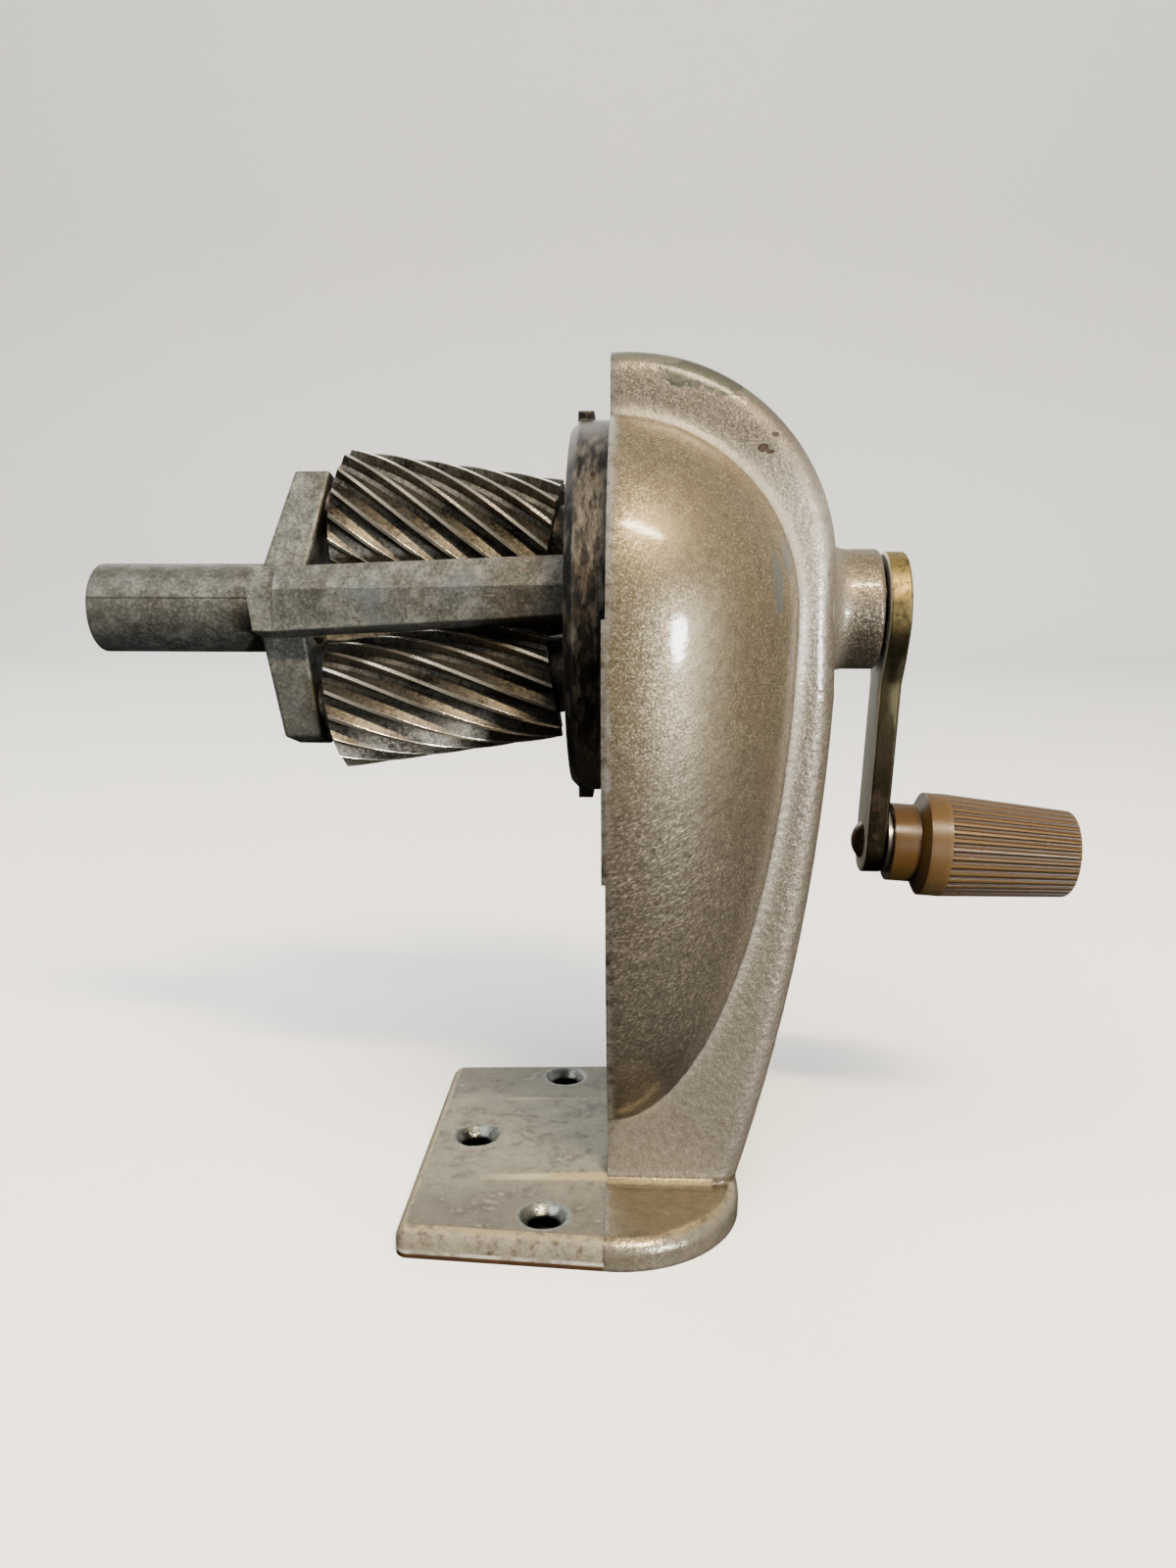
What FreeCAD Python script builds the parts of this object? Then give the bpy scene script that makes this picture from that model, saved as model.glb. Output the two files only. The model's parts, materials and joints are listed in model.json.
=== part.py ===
import FreeCAD, Part
import Sketcher
import math
import os

# Crank pencil sharpener with its shavings drum taken off, in millimetres.
# Frame: +Z up, +X from the pencil tube towards the crank, origin on the underside of the foot,
# in the plane of the shell's open mouth (X = 0) and in the plane of symmetry (Y = 0).

# Driving dimensions: alias, value, what it measures.
SIZES = [
    ("axis_height", 88.2, "crank axis above the underside of the foot"),
    ("running_clearance", 0.05, "radial clearance of a shaft that turns in a hole"),
    ("seat_clearance", 0.02, "radial clearance of a piece that is fixed in its seat"),
    ("end_play", 0.12, "axial clearance beside a piece that turns"),
    # Foot
    ("foot_thickness", 4.4, "thickness of the foot"),
    ("foot_front", 29.3, "reach of the foot in front of the mouth"),
    ("foot_back", 19.5, "reach of the foot behind the mouth"),
    ("foot_width", 58.0, "width of the foot at its widest"),
    ("foot_front_width", 54.0, "width of the foot at its front edge"),
    ("foot_corner", 18.0, "plan radius of the two back corners"),
    ("foot_front_corner", 2.0, "plan radius of the two front corners"),
    ("foot_edge", 2.2, "rounding of the foot's upper edge"),
    ("ramp_length", 22.0, "length of the ramp in front of the spine"),
    ("ramp_rise", 1.5, "height of the ramp at the spine"),
    ("ramp_toe", 0.1, "height of the ramp at its front end"),
    ("root_blend", 1.6, "width of the slope beside spine and ramp"),
    ("screw_bore", 4.3, "diameter of the foot's screw holes"),
    ("screw_sink", 7.0, "diameter of their countersinks"),
    ("side_hole_reach", 8.7, "side screw holes in front of the mouth"),
    ("side_hole_pitch", 45.3, "distance between the two side screw holes"),
    ("middle_hole_reach", 21.4, "middle screw hole in front of the mouth"),
    # Spine and shell
    ("spine_width", 26.0, "thickness of the spine across"),
    ("spine_foot", 18.4, "depth of the spine at the foot"),
    ("spine_depth", 31.0, "depth of the spine below the boss"),
    ("spine_shoulder", 30.6, "depth of the spine above the boss"),
    ("spine_bulge", 300.0, "radius of the spine's lower back"),
    ("spine_crown", 28.5, "radius of the spine's top"),
    ("spine_edge", 3.0, "rounding of the spine's outer edges"),
    ("spine_wall", 3.4, "wall of the spine"),
    ("shell_half_width", 30.5, "half width of the egg-shaped shell"),
    ("shell_depth", 28.3, "depth of the shell"),
    ("shell_up", 28.6, "reach of the shell above the axis"),
    ("shell_down", 82.0, "reach of the shell's ellipse below the axis"),
    ("shell_wall", 2.8, "wall of the shell"),
    ("hollow_down", 68.0, "reach of the hollow below the axis"),
    ("lip_height", 34.0, "length of the proud part of the rim, below the axis"),
    ("lip_proud", 0.5, "how far that part of the rim stands out"),
    ("lip_width", 2.3, "width of that part of the rim"),
    # Boss
    ("boss_radius", 8.58, "radius of the crank boss"),
    ("boss_end", 37.9, "outer end of the boss behind the mouth"),
    ("boss_blend", 3.0, "fillet at the root of the boss"),
    ("boss_inner_end", 16.0, "inner end of the boss behind the mouth"),
    ("boss_edge", 0.5, "rounding of the boss's outer end"),
    # Ring gear
    ("ring_radius", 26.4, "outer radius of the ring gear"),
    ("ring_proud", 5.5, "how far the ring stands out of the mouth"),
    ("ring_seat", 7.0, "how deep the ring sits in the shell"),
    ("ring_chamfer", 1.2, "chamfer of the ring's front edge"),
    ("ring_recess", 2.5, "depth of the groove in the ring's front face"),
    ("ring_recess_outer", 23.6, "outer radius of that groove"),
    ("ring_recess_inner", 19.4, "inner radius of that groove"),
    ("ring_relief", 20.0, "bore of the ring behind its teeth"),
    ("collar_wall", 1.6, "wall of the seat round the ring"),
    ("collar_lip", 2.6, "thickness of the lip behind the ring"),
    ("lug_front", 4.7, "front of the bayonet lugs before the mouth"),
    ("lug_thickness", 2.05, "thickness of the bayonet lugs"),
    ("lug_rise", 1.7, "height of the bayonet lugs"),
    ("lug_width", 9.0, "width of the bayonet lugs"),
    ("ring_screw_radius", 21.5, "radius of the circle of the ring's screws"),
    ("ring_screw_bore", 2.6, "diameter of the ring's screws"),
    ("ring_screw_head", 3.9, "diameter of their heads"),
    ("ring_screw_count", 3, "number of the ring's screws"),
    # Gears
    ("gear_module", 1.05, "module of the ring gear and the pinions"),
    ("ring_teeth", 31, "teeth of the ring gear"),
    ("pinion_teeth", 14, "teeth of a pinion"),
    ("gear_addendum", 0.8, "tooth height above the pitch circle, in modules"),
    ("gear_dedendum", 1.35, "tooth depth below the pitch circle, in modules"),
    ("gear_backlash", 1.0, "play between the teeth on the pitch circle"),
    ("gear_flank", 22.0, "flank angle of the teeth"),
    ("pinion_width", 4.0, "face width of a pinion"),
    ("mesh_reach", 3.0, "middle of the pinions in front of the mouth"),
    # Cutters
    ("cutter_tilt", 8.5, "angle between a cutter's axis and the crank axis"),
    ("cutter_radius", 9.2, "radius of a cutter"),
    ("cutter_length", 32.8, "length of a cutter's toothed part"),
    ("cutter_neck", 3.5, "length of the neck between cutter and pinion"),
    ("cutter_neck_radius", 5.6, "radius of that neck"),
    ("cutter_spigot", 3.9, "radius of the spigot that carries the pinion"),
    ("cutter_bevel", 1.3, "axial depth of the bevel at the cutter's front end"),
    ("cutter_bevel_radius", 5.6, "inner radius of that bevel"),
    ("cutter_teeth", 16, "teeth of a cutter"),
    ("cutter_helix", 30.0, "helix angle of the teeth"),
    ("cutter_gullet", 1.7, "depth of the gullets"),
    ("pin_radius", 2.4, "radius of a cutter's pin"),
    ("front_washer", 0.9, "thickness of the washer in front of a cutter"),
    ("rear_washer", 0.6, "thickness of the washer behind a pinion"),
    ("washer_radius", 3.8, "radius of the cutters' washers"),
    # Carrier
    ("carrier_turn", 16.0, "how far the carrier is turned, its near bar upwards"),
    ("tube_radius", 6.5, "outer radius of the pencil tube"),
    ("tube_bore", 5.4, "bore radius of the pencil tube"),
    ("tube_end", 75.8, "front end of the pencil tube before the mouth"),
    ("tube_edge", 0.55, "rounding of the tube's end"),
    ("plate_reach", 19.7, "half length of the end plate"),
    ("plate_width", 13.0, "width of the end plate in the middle"),
    ("plate_tip_width", 7.0, "width of the end plate at its tips"),
    ("plate_tip", 5.4, "thickness of the end plate at its tips"),
    ("plate_ridge", 6.8, "thickness of the end plate at its ridge"),
    ("plate_edge", 0.6, "rounding of the end plate's edges"),
    ("bar_front_ridge", 11.4, "distance of a bar's ridge from the axis at the front"),
    ("bar_back_ridge", 14.8, "distance of a bar's ridge from the axis at the back"),
    ("bar_front_height", 9.2, "height of a bar at the front"),
    ("bar_back_height", 8.1, "height of a bar at the back"),
    ("bar_ridge", 1.2, "how far a bar's ridge stands out"),
    ("bar_front_inner", 6.0, "distance of a bar's inner face from the axis at the front"),
    ("bar_back_inner", 8.6, "distance of a bar's inner face from the axis at the back"),
    ("bar_front_drop", 1.1, "how far the near bar's middle lies below its ridge at the front"),
    ("bar_back_drop", -0.55, "how far the near bar's middle lies below its ridge at the back"),
    ("bridge_radius", 14.6, "radius of the bridge behind the pinions"),
    ("bridge_front", 0.8, "front face of the bridge behind the mouth"),
    ("bridge_thickness", 5.4, "thickness of the bridge"),
    ("hub_radius", 7.5, "radius of the carrier's hub"),
    # Spindle and crank
    ("spindle_radius", 4.0, "radius of the spindle"),
    ("spindle_start", 3.0, "inner end of the spindle behind the mouth"),
    ("spindle_square", 5.6, "width of the spindle's square end"),
    ("cross_pin_radius", 1.2, "radius of the pin through hub and spindle"),
    ("spindle_washer", 0.45, "thickness of the washer between boss and arm"),
    ("spindle_washer_radius", 6.6, "radius of that washer"),
    ("arm_thickness", 3.1, "thickness of the crank arm"),
    ("arm_hub_radius", 8.2, "radius of the arm's upper end"),
    ("arm_half_width", 4.0, "half width of the arm, and radius of its lower end"),
    ("arm_tail", 35.0, "centre of the lower end's rounding, below the axis"),
    ("arm_neck", 10.5, "where the arm reaches its own width, below the axis"),
    ("arm_bend", 2.5, "bend of the arm towards the stand"),
    ("arm_bend_drop", 5.0, "where the bend starts, below the axis"),
    ("arm_bend_radius", 80.0, "radius of the bend on its inner side"),
    ("arm_edge", 0.4, "rounding of the arm's edges"),
    ("crank_radius", 34.35, "distance from the crank axis to the knob's axis"),
    # Knob
    ("knob_droop", 3.6, "fall of the knob's axis, a little more than the arm's bend gives"),
    ("rivet_radius", 2.4, "radius of the knob's rivet"),
    ("rivet_head_radius", 2.75, "radius of the rivet's peened head"),
    ("rivet_head", 1.3, "height of that head"),
    ("rivet_flange_radius", 3.9, "radius of the rivet's flange in the knob's end"),
    ("rivet_flange", 1.4, "thickness of that flange"),
    ("knob_washer", 0.6, "thickness of the washer between arm and knob"),
    ("knob_washer_radius", 4.6, "radius of that washer"),
    ("knob_collar_radius", 5.8, "radius of the knob's collar"),
    ("knob_collar", 3.8, "length of the collar"),
    ("knob_step", 1.0, "length of the cone from the collar to the knob's big end"),
    ("knob_big_radius", 7.67, "radius of the knob's big end"),
    ("knob_small_radius", 6.46, "radius of the knob's small end"),
    ("knob_band", 3.1, "length of the smooth band at the big end"),
    ("knob_grip", 18.0, "length of the fluted part"),
    ("knob_edge", 0.9, "rounding of the knob's end"),
    ("knob_recess", 5.0, "depth of the hole in the knob's end"),
    ("knob_recess_radius", 4.4, "radius of that hole"),
    ("flute_count", 38, "number of flutes"),
    ("flute_radius", 0.42, "radius of a flute's section"),
    ("flute_depth", 0.34, "depth of a flute"),
]

X_AXIS = FreeCAD.Vector(1, 0, 0)
Y_AXIS = FreeCAD.Vector(0, 1, 0)
Z_AXIS = FreeCAD.Vector(0, 0, 1)

doc = FreeCAD.newDocument("crank_pencil_sharpener")
sheet = doc.addObject("Spreadsheet::Sheet", "sizes")
for row, (alias, value, meaning) in enumerate(SIZES, start=1):
    sheet.set(f"A{row}", meaning)
    sheet.set(f"B{row}", str(value))
    sheet.setAlias(f"B{row}", alias)
doc.recompute()

# Sizes that follow from the driving ones, as expressions on the sheet.
TILT = "sizes.cutter_tilt * 1 deg"
MESH_X = "-sizes.mesh_reach"
MESH_OFFSET = "((sizes.ring_teeth - sizes.pinion_teeth) * sizes.gear_module / 2)"
RING_PITCH = "(sizes.ring_teeth * sizes.gear_module / 2)"
PINION_PITCH = "(sizes.pinion_teeth * sizes.gear_module / 2)"
ADDENDUM = "(sizes.gear_addendum * sizes.gear_module)"
DEDENDUM = "(sizes.gear_dedendum * sizes.gear_module)"
RING_ROOT = f"({RING_PITCH} + {DEDENDUM})"
CUTTER_BACK = "(sizes.pinion_width / 2 + sizes.cutter_neck)"
CUTTER_FRONT = f"({CUTTER_BACK} + sizes.cutter_length)"
PLATE_FACE = f"({CUTTER_FRONT} + sizes.front_washer + 2 * sizes.end_play)"
REST_FACE = "(sizes.pinion_width / 2 + sizes.rear_washer + 2 * sizes.end_play)"
ARM_INNER = "(sizes.boss_end + sizes.spindle_washer + 2 * sizes.end_play)"
ARM_OUTER = f"({ARM_INNER} + sizes.arm_thickness)"
TEETH_BACK = "(sizes.bridge_front / 2)"
PLATE_HOLLOW = f"(sizes.mesh_reach + {PLATE_FACE} / cos({TILT}) + {MESH_OFFSET} * tan({TILT}))"
PLATE_NOSE = f"({PLATE_HOLLOW} + sizes.plate_ridge)"
PLATE_SLOPE = (
    f"(({PLATE_NOSE} - (sizes.mesh_reach + ({PLATE_FACE} + sizes.plate_tip) / cos({TILT})"
    f" - (sizes.plate_reach - {MESH_OFFSET}) * tan({TILT}))) / sizes.plate_reach)"
)
PIN_FRONT = (
    f"(({PLATE_NOSE} - sizes.mesh_reach - {PLATE_SLOPE} * {MESH_OFFSET})"
    f" / (cos({TILT}) + {PLATE_SLOPE} * sin({TILT})))"
)
PIN_BACK = "(sizes.mesh_reach + sizes.bridge_front + sizes.bridge_thickness * 3 / 4)"
KNOB_END = (
    "(sizes.knob_washer + sizes.end_play + sizes.knob_collar + sizes.knob_step + sizes.knob_band"
    " + sizes.knob_grip + sizes.knob_edge)"
)
BEND = "sizes.arm_bend * 1 deg"
BEND_X = f"({ARM_INNER} - sizes.arm_bend_radius)"
KNOB_GAP = (
    "(sizes.knob_washer_radius * tan((sizes.knob_droop - sizes.arm_bend) * 1 deg)"
    " + sizes.seat_clearance)"
)
RIVET_SEAT = f"(sizes.arm_thickness + 2 * {KNOB_GAP})"
HALF_TURNS = (0, 180)


def number(expression):
    """The value of an expression on the sheet."""
    return float(sheet.evalExpression(expression))


def size(alias):
    """The value of one driving dimension."""
    return number(f"sizes.{alias}")


def face_x(distance, height):
    """X of a face that is square to the upper cutter's axis, `distance` in front of its pinion."""
    return f"({MESH_X} - ({distance}) / cos({TILT}) + ({height} - {MESH_OFFSET}) * tan({TILT}))"


def new_body(label):
    body = doc.addObject("PartDesign::Body", label)
    body.Label = label
    return body


def origin_feature(body, role):
    return next(feature for feature in body.Origin.OriginFeatures if feature.Role == role)


def new_sketch(body, plane, name, along=None, up=None, turn=0.0):
    """A sketch on one of the body's own planes, moved along its normal and up its second axis."""
    sketch = body.newObject("Sketcher::SketchObject", name)
    sketch.AttachmentSupport = (origin_feature(body, plane), [""])
    sketch.MapMode = "FlatFace"
    offset = FreeCAD.Placement()
    offset.Rotation = FreeCAD.Rotation(Z_AXIS, turn)
    sketch.AttachmentOffset = offset
    if along:
        sketch.setExpression("AttachmentOffset.Base.z", along)
    if up:
        sketch.setExpression("AttachmentOffset.Base.y", up)
    return sketch


def bind_constraint(sketch, constraint, expression):
    index = sketch.addConstraint(constraint)
    sketch.setExpression(f"Constraints[{index}]", expression)


def outline(sketch, corners):
    """A closed outline. A corner is (x, y), or (x, y, radius, side) where an arc leaves it,
    with the arc's centre on the left (side 1) or on the right (side -1) of the way."""
    places = [FreeCAD.Vector(number(corner[0]), number(corner[1]), 0) for corner in corners]
    ends = []
    for index, corner in enumerate(corners):
        here = places[index]
        there = places[(index + 1) % len(corners)]
        if len(corner) == 2:
            edge = sketch.addGeometry(Part.LineSegment(here, there))
            ends.append((edge, 1, 2))
            continue
        radius, side = corner[2:]
        chord = there - here
        left = FreeCAD.Vector(-chord.y, chord.x, 0).normalize() * side
        height = math.sqrt(number(radius) ** 2 - chord.Length ** 2 / 4)
        top = (here + there) / 2 - left * (number(radius) - height)
        edge = sketch.addGeometry(Part.Arc(here, top, there))
        bind_constraint(sketch, Sketcher.Constraint("Radius", edge, number(radius)), radius)
        ends.append((edge, 1, 2) if side > 0 else (edge, 2, 1))
    for index, corner in enumerate(corners):
        edge, first, _ = ends[index]
        before, _, last = ends[index - 1]
        sketch.addConstraint(Sketcher.Constraint("Coincident", before, last, edge, first))
        for kind, place, expression in zip(("DistanceX", "DistanceY"), places[index], corner):
            bind_constraint(sketch, Sketcher.Constraint(kind, -1, 1, edge, first, place), expression)


def circle(sketch, x, y, radius):
    centre = FreeCAD.Vector(number(x), number(y), 0)
    edge = sketch.addGeometry(Part.Circle(centre, Z_AXIS, number(radius)))
    bind_constraint(sketch, Sketcher.Constraint("DistanceX", -1, 1, edge, 3, centre.x), x)
    bind_constraint(sketch, Sketcher.Constraint("DistanceY", -1, 1, edge, 3, centre.y), y)
    bind_constraint(sketch, Sketcher.Constraint("Radius", edge, number(radius)), radius)


def sketch_feature(kind, sketch, name):
    """A feature of the sketch's own body, made from that sketch."""
    feature = sketch.getParentGeoFeatureGroup().newObject(f"PartDesign::{kind}", name)
    feature.Profile = sketch
    return feature


def pad(sketch, length, name, symmetric=False, kind="Pad", reverse=False):
    feature = sketch_feature(kind, sketch, name)
    feature.SideType = "Symmetric" if symmetric else "One side"
    feature.Reversed = reverse
    feature.setExpression("Length", length)
    doc.recompute()
    return feature


def turned(sketch, name, kind="Revolution"):
    """A full turn of the sketch about its own first axis."""
    feature = sketch_feature(kind, sketch, name)
    feature.ReferenceAxis = (sketch, ["H_Axis"])
    feature.Angle = 360
    doc.recompute()
    return feature


def primitive(body, kind, name, placement, **expressions):
    feature = body.newObject(f"PartDesign::{kind}", name)
    feature.Placement = placement
    for prop, expression in expressions.items():
        feature.setExpression(prop, expression)
    doc.recompute()
    return feature


def polar(body, original, name, count):
    """Copies of a feature, evenly round the body's X axis."""
    pattern = body.newObject("PartDesign::PolarPattern", name)
    pattern.Originals = [original]
    pattern.Axis = (origin_feature(body, "X_Axis"), [""])
    pattern.Angle = 360
    pattern.setExpression("Occurrences", count)
    body.Tip = pattern
    doc.recompute()
    return pattern


def rounded(body, base, name, radius, wanted):
    """Fillets on those edges of a feature that `wanted` picks."""
    names = [f"Edge{i}" for i, edge in enumerate(base.Shape.Edges, start=1) if wanted(edge)]
    feature = body.newObject("PartDesign::Fillet", name)
    feature.Base = (base, names)
    feature.setExpression("Radius", radius)
    body.Tip = feature
    doc.recompute()
    return feature


def edge_middle(edge):
    return edge.valueAt((edge.FirstParameter + edge.LastParameter) / 2)


def lies_at(value, target, tolerance=1e-3):
    return abs(value - target) < tolerance


def along_x(x, y=0.0, z=0.0):
    """A placement that lays a primitive's own axis along +X."""
    return FreeCAD.Placement(FreeCAD.Vector(x, y, z), FreeCAD.Rotation(Y_AXIS, 90))


def on_axis(body):
    """Puts a body that is drawn round the X axis on the crank axis."""
    body.setExpression("Placement.Base.z", "sizes.axis_height")


def cutter_place(half_turn):
    """The place of a cutter's own frame in the carrier: its X along the cutter's axis, towards the crank,
    its origin in the middle of the pinion. The lower cutter is half a turn from the upper one."""
    tilted = FreeCAD.Placement(
        FreeCAD.Vector(number(MESH_X), 0, number(MESH_OFFSET)),
        FreeCAD.Rotation(Y_AXIS, size("cutter_tilt")),
    )
    return FreeCAD.Placement(FreeCAD.Vector(), FreeCAD.Rotation(X_AXIS, half_turn)) * tilted


def carrier_place():
    """The place of the carrier's frame in the sharpener."""
    height = FreeCAD.Vector(0, 0, size("axis_height"))
    return FreeCAD.Placement(height, FreeCAD.Rotation(X_AXIS, -size("carrier_turn")))


# Casting: foot, spine, egg-shaped shell and boss.
def plinth_section(sketch, rise):
    """The plinth across: flat under the spine, with a slope down to the foot on each side."""
    low_side = "(sizes.spine_width / 2 + sizes.root_blend)"
    high_side = "(sizes.spine_width / 2 - sizes.root_blend)"
    outline(sketch, [
        (f"-{low_side}", "sizes.foot_thickness / 2"),
        (low_side, "sizes.foot_thickness / 2"),
        (low_side, "sizes.foot_thickness"),
        (high_side, f"sizes.foot_thickness + {rise}"),
        (f"-{high_side}", f"sizes.foot_thickness + {rise}"),
        (f"-{low_side}", "sizes.foot_thickness"),
    ])


def draw_foot_plate(body):
    sketch = new_sketch(body, "XY_Plane", "foot_plan")
    side = "sizes.foot_width / 2"
    front_side = "sizes.foot_front_width / 2"
    corner_x = "(sizes.foot_back - sizes.foot_corner)"
    corner_y = "(sizes.foot_width / 2 - sizes.foot_corner)"
    outline(sketch, [
        ("-sizes.foot_front", f"-{front_side}"),
        (corner_x, f"-{side}", "sizes.foot_corner", 1),
        ("sizes.foot_back", f"-{corner_y}"),
        ("sizes.foot_back", corner_y, "sizes.foot_corner", 1),
        (corner_x, side),
        ("-sizes.foot_front", front_side),
    ])
    plate = pad(sketch, "sizes.foot_thickness", "foot_plate")
    front = -size("foot_front")
    corners = rounded(
        body, plate, "foot_front_corners", "sizes.foot_front_corner",
        lambda edge: all(lies_at(vertex.X, front) for vertex in edge.Vertexes)
        and not lies_at(edge.Vertexes[0].Z, edge.Vertexes[-1].Z),
    )
    top = size("foot_thickness")
    return rounded(
        body, corners, "foot_upper_edge", "sizes.foot_edge",
        lambda edge: all(lies_at(vertex.Z, top) for vertex in edge.Vertexes),
    )


def draw_plinth(body):
    """The spine's root on the foot, and the ramp that runs out in front of it."""
    root = new_sketch(body, "YZ_Plane", "plinth_root", along="sizes.spine_wall / 2")
    plinth_section(root, "sizes.ramp_rise")
    pad(root, "sizes.spine_foot - sizes.spine_edge - sizes.spine_wall / 2", "plinth")
    ramp_root = new_sketch(body, "YZ_Plane", "ramp_root", along="sizes.spine_wall / 2")
    plinth_section(ramp_root, "sizes.ramp_rise")
    ramp_toe = new_sketch(body, "YZ_Plane", "ramp_toe", along="-sizes.ramp_length")
    plinth_section(ramp_toe, "sizes.ramp_toe")
    ramp = sketch_feature("AdditiveLoft", ramp_root, "ramp")
    ramp.Sections = [ramp_toe]
    ramp.Ruled = True
    doc.recompute()
    return ramp


def drill_foot(body):
    side = size("side_hole_pitch") / 2
    places = [
        (-size("side_hole_reach"), -side),
        (-size("side_hole_reach"), side),
        (-size("middle_hole_reach"), 0.0),
    ]
    sink = "(sizes.screw_sink - sizes.screw_bore) / 2"
    for index, (x, y) in enumerate(places):
        primitive(
            body, "SubtractiveCylinder", f"screw_hole_{index}",
            FreeCAD.Placement(FreeCAD.Vector(x, y, -1), FreeCAD.Rotation()),
            Radius="sizes.screw_bore / 2", Height="sizes.foot_thickness + 2",
        )
        start = FreeCAD.Vector(x, y, size("foot_thickness") - number(sink))
        primitive(
            body, "SubtractiveCone", f"screw_sink_{index}",
            FreeCAD.Placement(start, FreeCAD.Rotation()),
            Radius1="sizes.screw_bore / 2", Radius2="sizes.screw_sink / 2 + sizes.ramp_rise",
            Height=f"{sink} + sizes.ramp_rise",
        )


def make_foot():
    body = new_body("foot_blank")
    draw_foot_plate(body)
    draw_plinth(body)
    drill_foot(body)
    return body


def draw_spine(body):
    sketch = new_sketch(body, "XZ_Plane", "spine_side")
    crown_x = "(sizes.spine_shoulder - sizes.spine_crown)"
    crown_z = "(sizes.axis_height + sizes.boss_radius - sizes.boss_blend)"
    outline(sketch, [
        ("0", "sizes.foot_thickness / 2"),
        ("sizes.spine_foot", "sizes.foot_thickness / 2", "sizes.spine_bulge", 1),
        ("sizes.spine_depth", "sizes.axis_height - sizes.boss_radius - sizes.boss_blend"),
        ("sizes.spine_shoulder", crown_z, "sizes.spine_crown", 1),
        ("0", f"{crown_z} + sqrt(sizes.spine_crown ^ 2 - {crown_x} ^ 2)"),
    ])
    spine = pad(sketch, "sizes.spine_width", "spine", symmetric=True)
    side = size("spine_width") / 2
    floor = size("foot_thickness")

    def is_back_edge(edge):
        middle = edge_middle(edge)
        return lies_at(abs(middle.y), side) and middle.x > 1 and middle.z > floor + 1

    return rounded(body, spine, "spine_edges", "sizes.spine_edge", is_back_edge)


def hollow_spine(body):
    """The spine is cored from the mouth, with a wall of its own all round."""
    sketch = new_sketch(body, "XZ_Plane", "spine_core")
    crown = "(sizes.spine_crown - sizes.spine_wall)"
    crown_x = "(sizes.spine_shoulder - sizes.spine_crown)"
    crown_z = "(sizes.axis_height + sizes.boss_radius - sizes.boss_blend)"
    floor = "sizes.foot_thickness + sizes.ramp_rise + sizes.spine_wall"
    outline(sketch, [
        ("0", floor),
        ("sizes.spine_foot - sizes.spine_wall", floor, "sizes.spine_bulge", 1),
        ("sizes.spine_depth - sizes.spine_wall", "sizes.axis_height - sizes.boss_radius - sizes.boss_blend"),
        ("sizes.spine_shoulder - sizes.spine_wall", crown_z, crown, 1),
        ("0", f"{crown_z} + sqrt({crown} ^ 2 - {crown_x} ^ 2)"),
    ])
    return pad(
        sketch, "sizes.spine_width - 2 * sizes.spine_wall", "spine_hollow", symmetric=True, kind="Pocket"
    )


def egg_half(body, kind, name, low, high, width, depth, height):
    """A quarter of an ellipsoid behind the mouth, above or below the crank axis."""
    quarter = FreeCAD.Placement(
        FreeCAD.Vector(0, 0, size("axis_height")), FreeCAD.Rotation(Z_AXIS, -90)
    )
    return primitive(
        body, kind, name, quarter,
        Radius1=height, Radius2=width, Radius3=depth, Angle1=low, Angle2=high, Angle3="180",
    )


def draw_shell(body):
    width = "sizes.shell_half_width"
    depth = "sizes.shell_depth"
    egg_half(body, "AdditiveEllipsoid", "shell_above", "0", "90", width, depth, "sizes.shell_up")
    egg_half(body, "AdditiveEllipsoid", "shell_below", "-90", "0", width, depth, "sizes.shell_down")


def draw_rim_lip(body):
    """The middle of the shell's rim stands a little proud, on both sides."""
    sketch = new_sketch(body, "YZ_Plane", "rim_lip", up="sizes.axis_height")
    curve = "(sizes.shell_down ^ 2 / sizes.shell_half_width)"
    low = "sizes.shell_half_width * sqrt(1 - (sizes.lip_height / sizes.shell_down) ^ 2)"
    for sign, centre_side in (("", -1), ("-", 1)):
        outline(sketch, [
            (f"{sign}sizes.shell_half_width", "0", curve, centre_side),
            (f"{sign}({low})", "-sizes.lip_height"),
            (f"{sign}({low} - sizes.lip_width)", "-sizes.lip_height", curve, -centre_side),
            (f"{sign}(sizes.shell_half_width - sizes.lip_width)", "0"),
        ])
    return pad(sketch, "sizes.lip_proud", "rim_lip_pad", reverse=True)


def draw_boss(body):
    sketch = new_sketch(body, "XZ_Plane", "boss_half", up="sizes.axis_height")
    root = "(sizes.spine_shoulder - sizes.boss_edge / 2)"
    outline(sketch, [
        ("sizes.boss_inner_end", "0"),
        ("sizes.boss_end", "0"),
        ("sizes.boss_end", "sizes.boss_radius - sizes.boss_edge", "sizes.boss_edge", 1),
        ("sizes.boss_end - sizes.boss_edge", "sizes.boss_radius"),
        (f"{root} + sizes.boss_blend", "sizes.boss_radius", "sizes.boss_blend", -1),
        (root, "sizes.boss_radius + sizes.boss_blend"),
        (f"{root} - sizes.boss_blend", "sizes.boss_radius + sizes.boss_blend"),
        (f"{root} - sizes.boss_blend", "sizes.boss_radius"),
        ("sizes.boss_inner_end", "sizes.boss_radius"),
    ])
    return turned(sketch, "boss")


def hollow_shell(body):
    width = "sizes.shell_half_width - sizes.shell_wall"
    depth = "sizes.shell_depth - sizes.shell_wall"
    kind = "SubtractiveEllipsoid"
    egg_half(body, kind, "hollow_above", "0", "90", width, depth, "sizes.shell_up - sizes.shell_wall")
    egg_half(body, kind, "hollow_below", "-90", "0", width, depth, "sizes.hollow_down")


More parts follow.
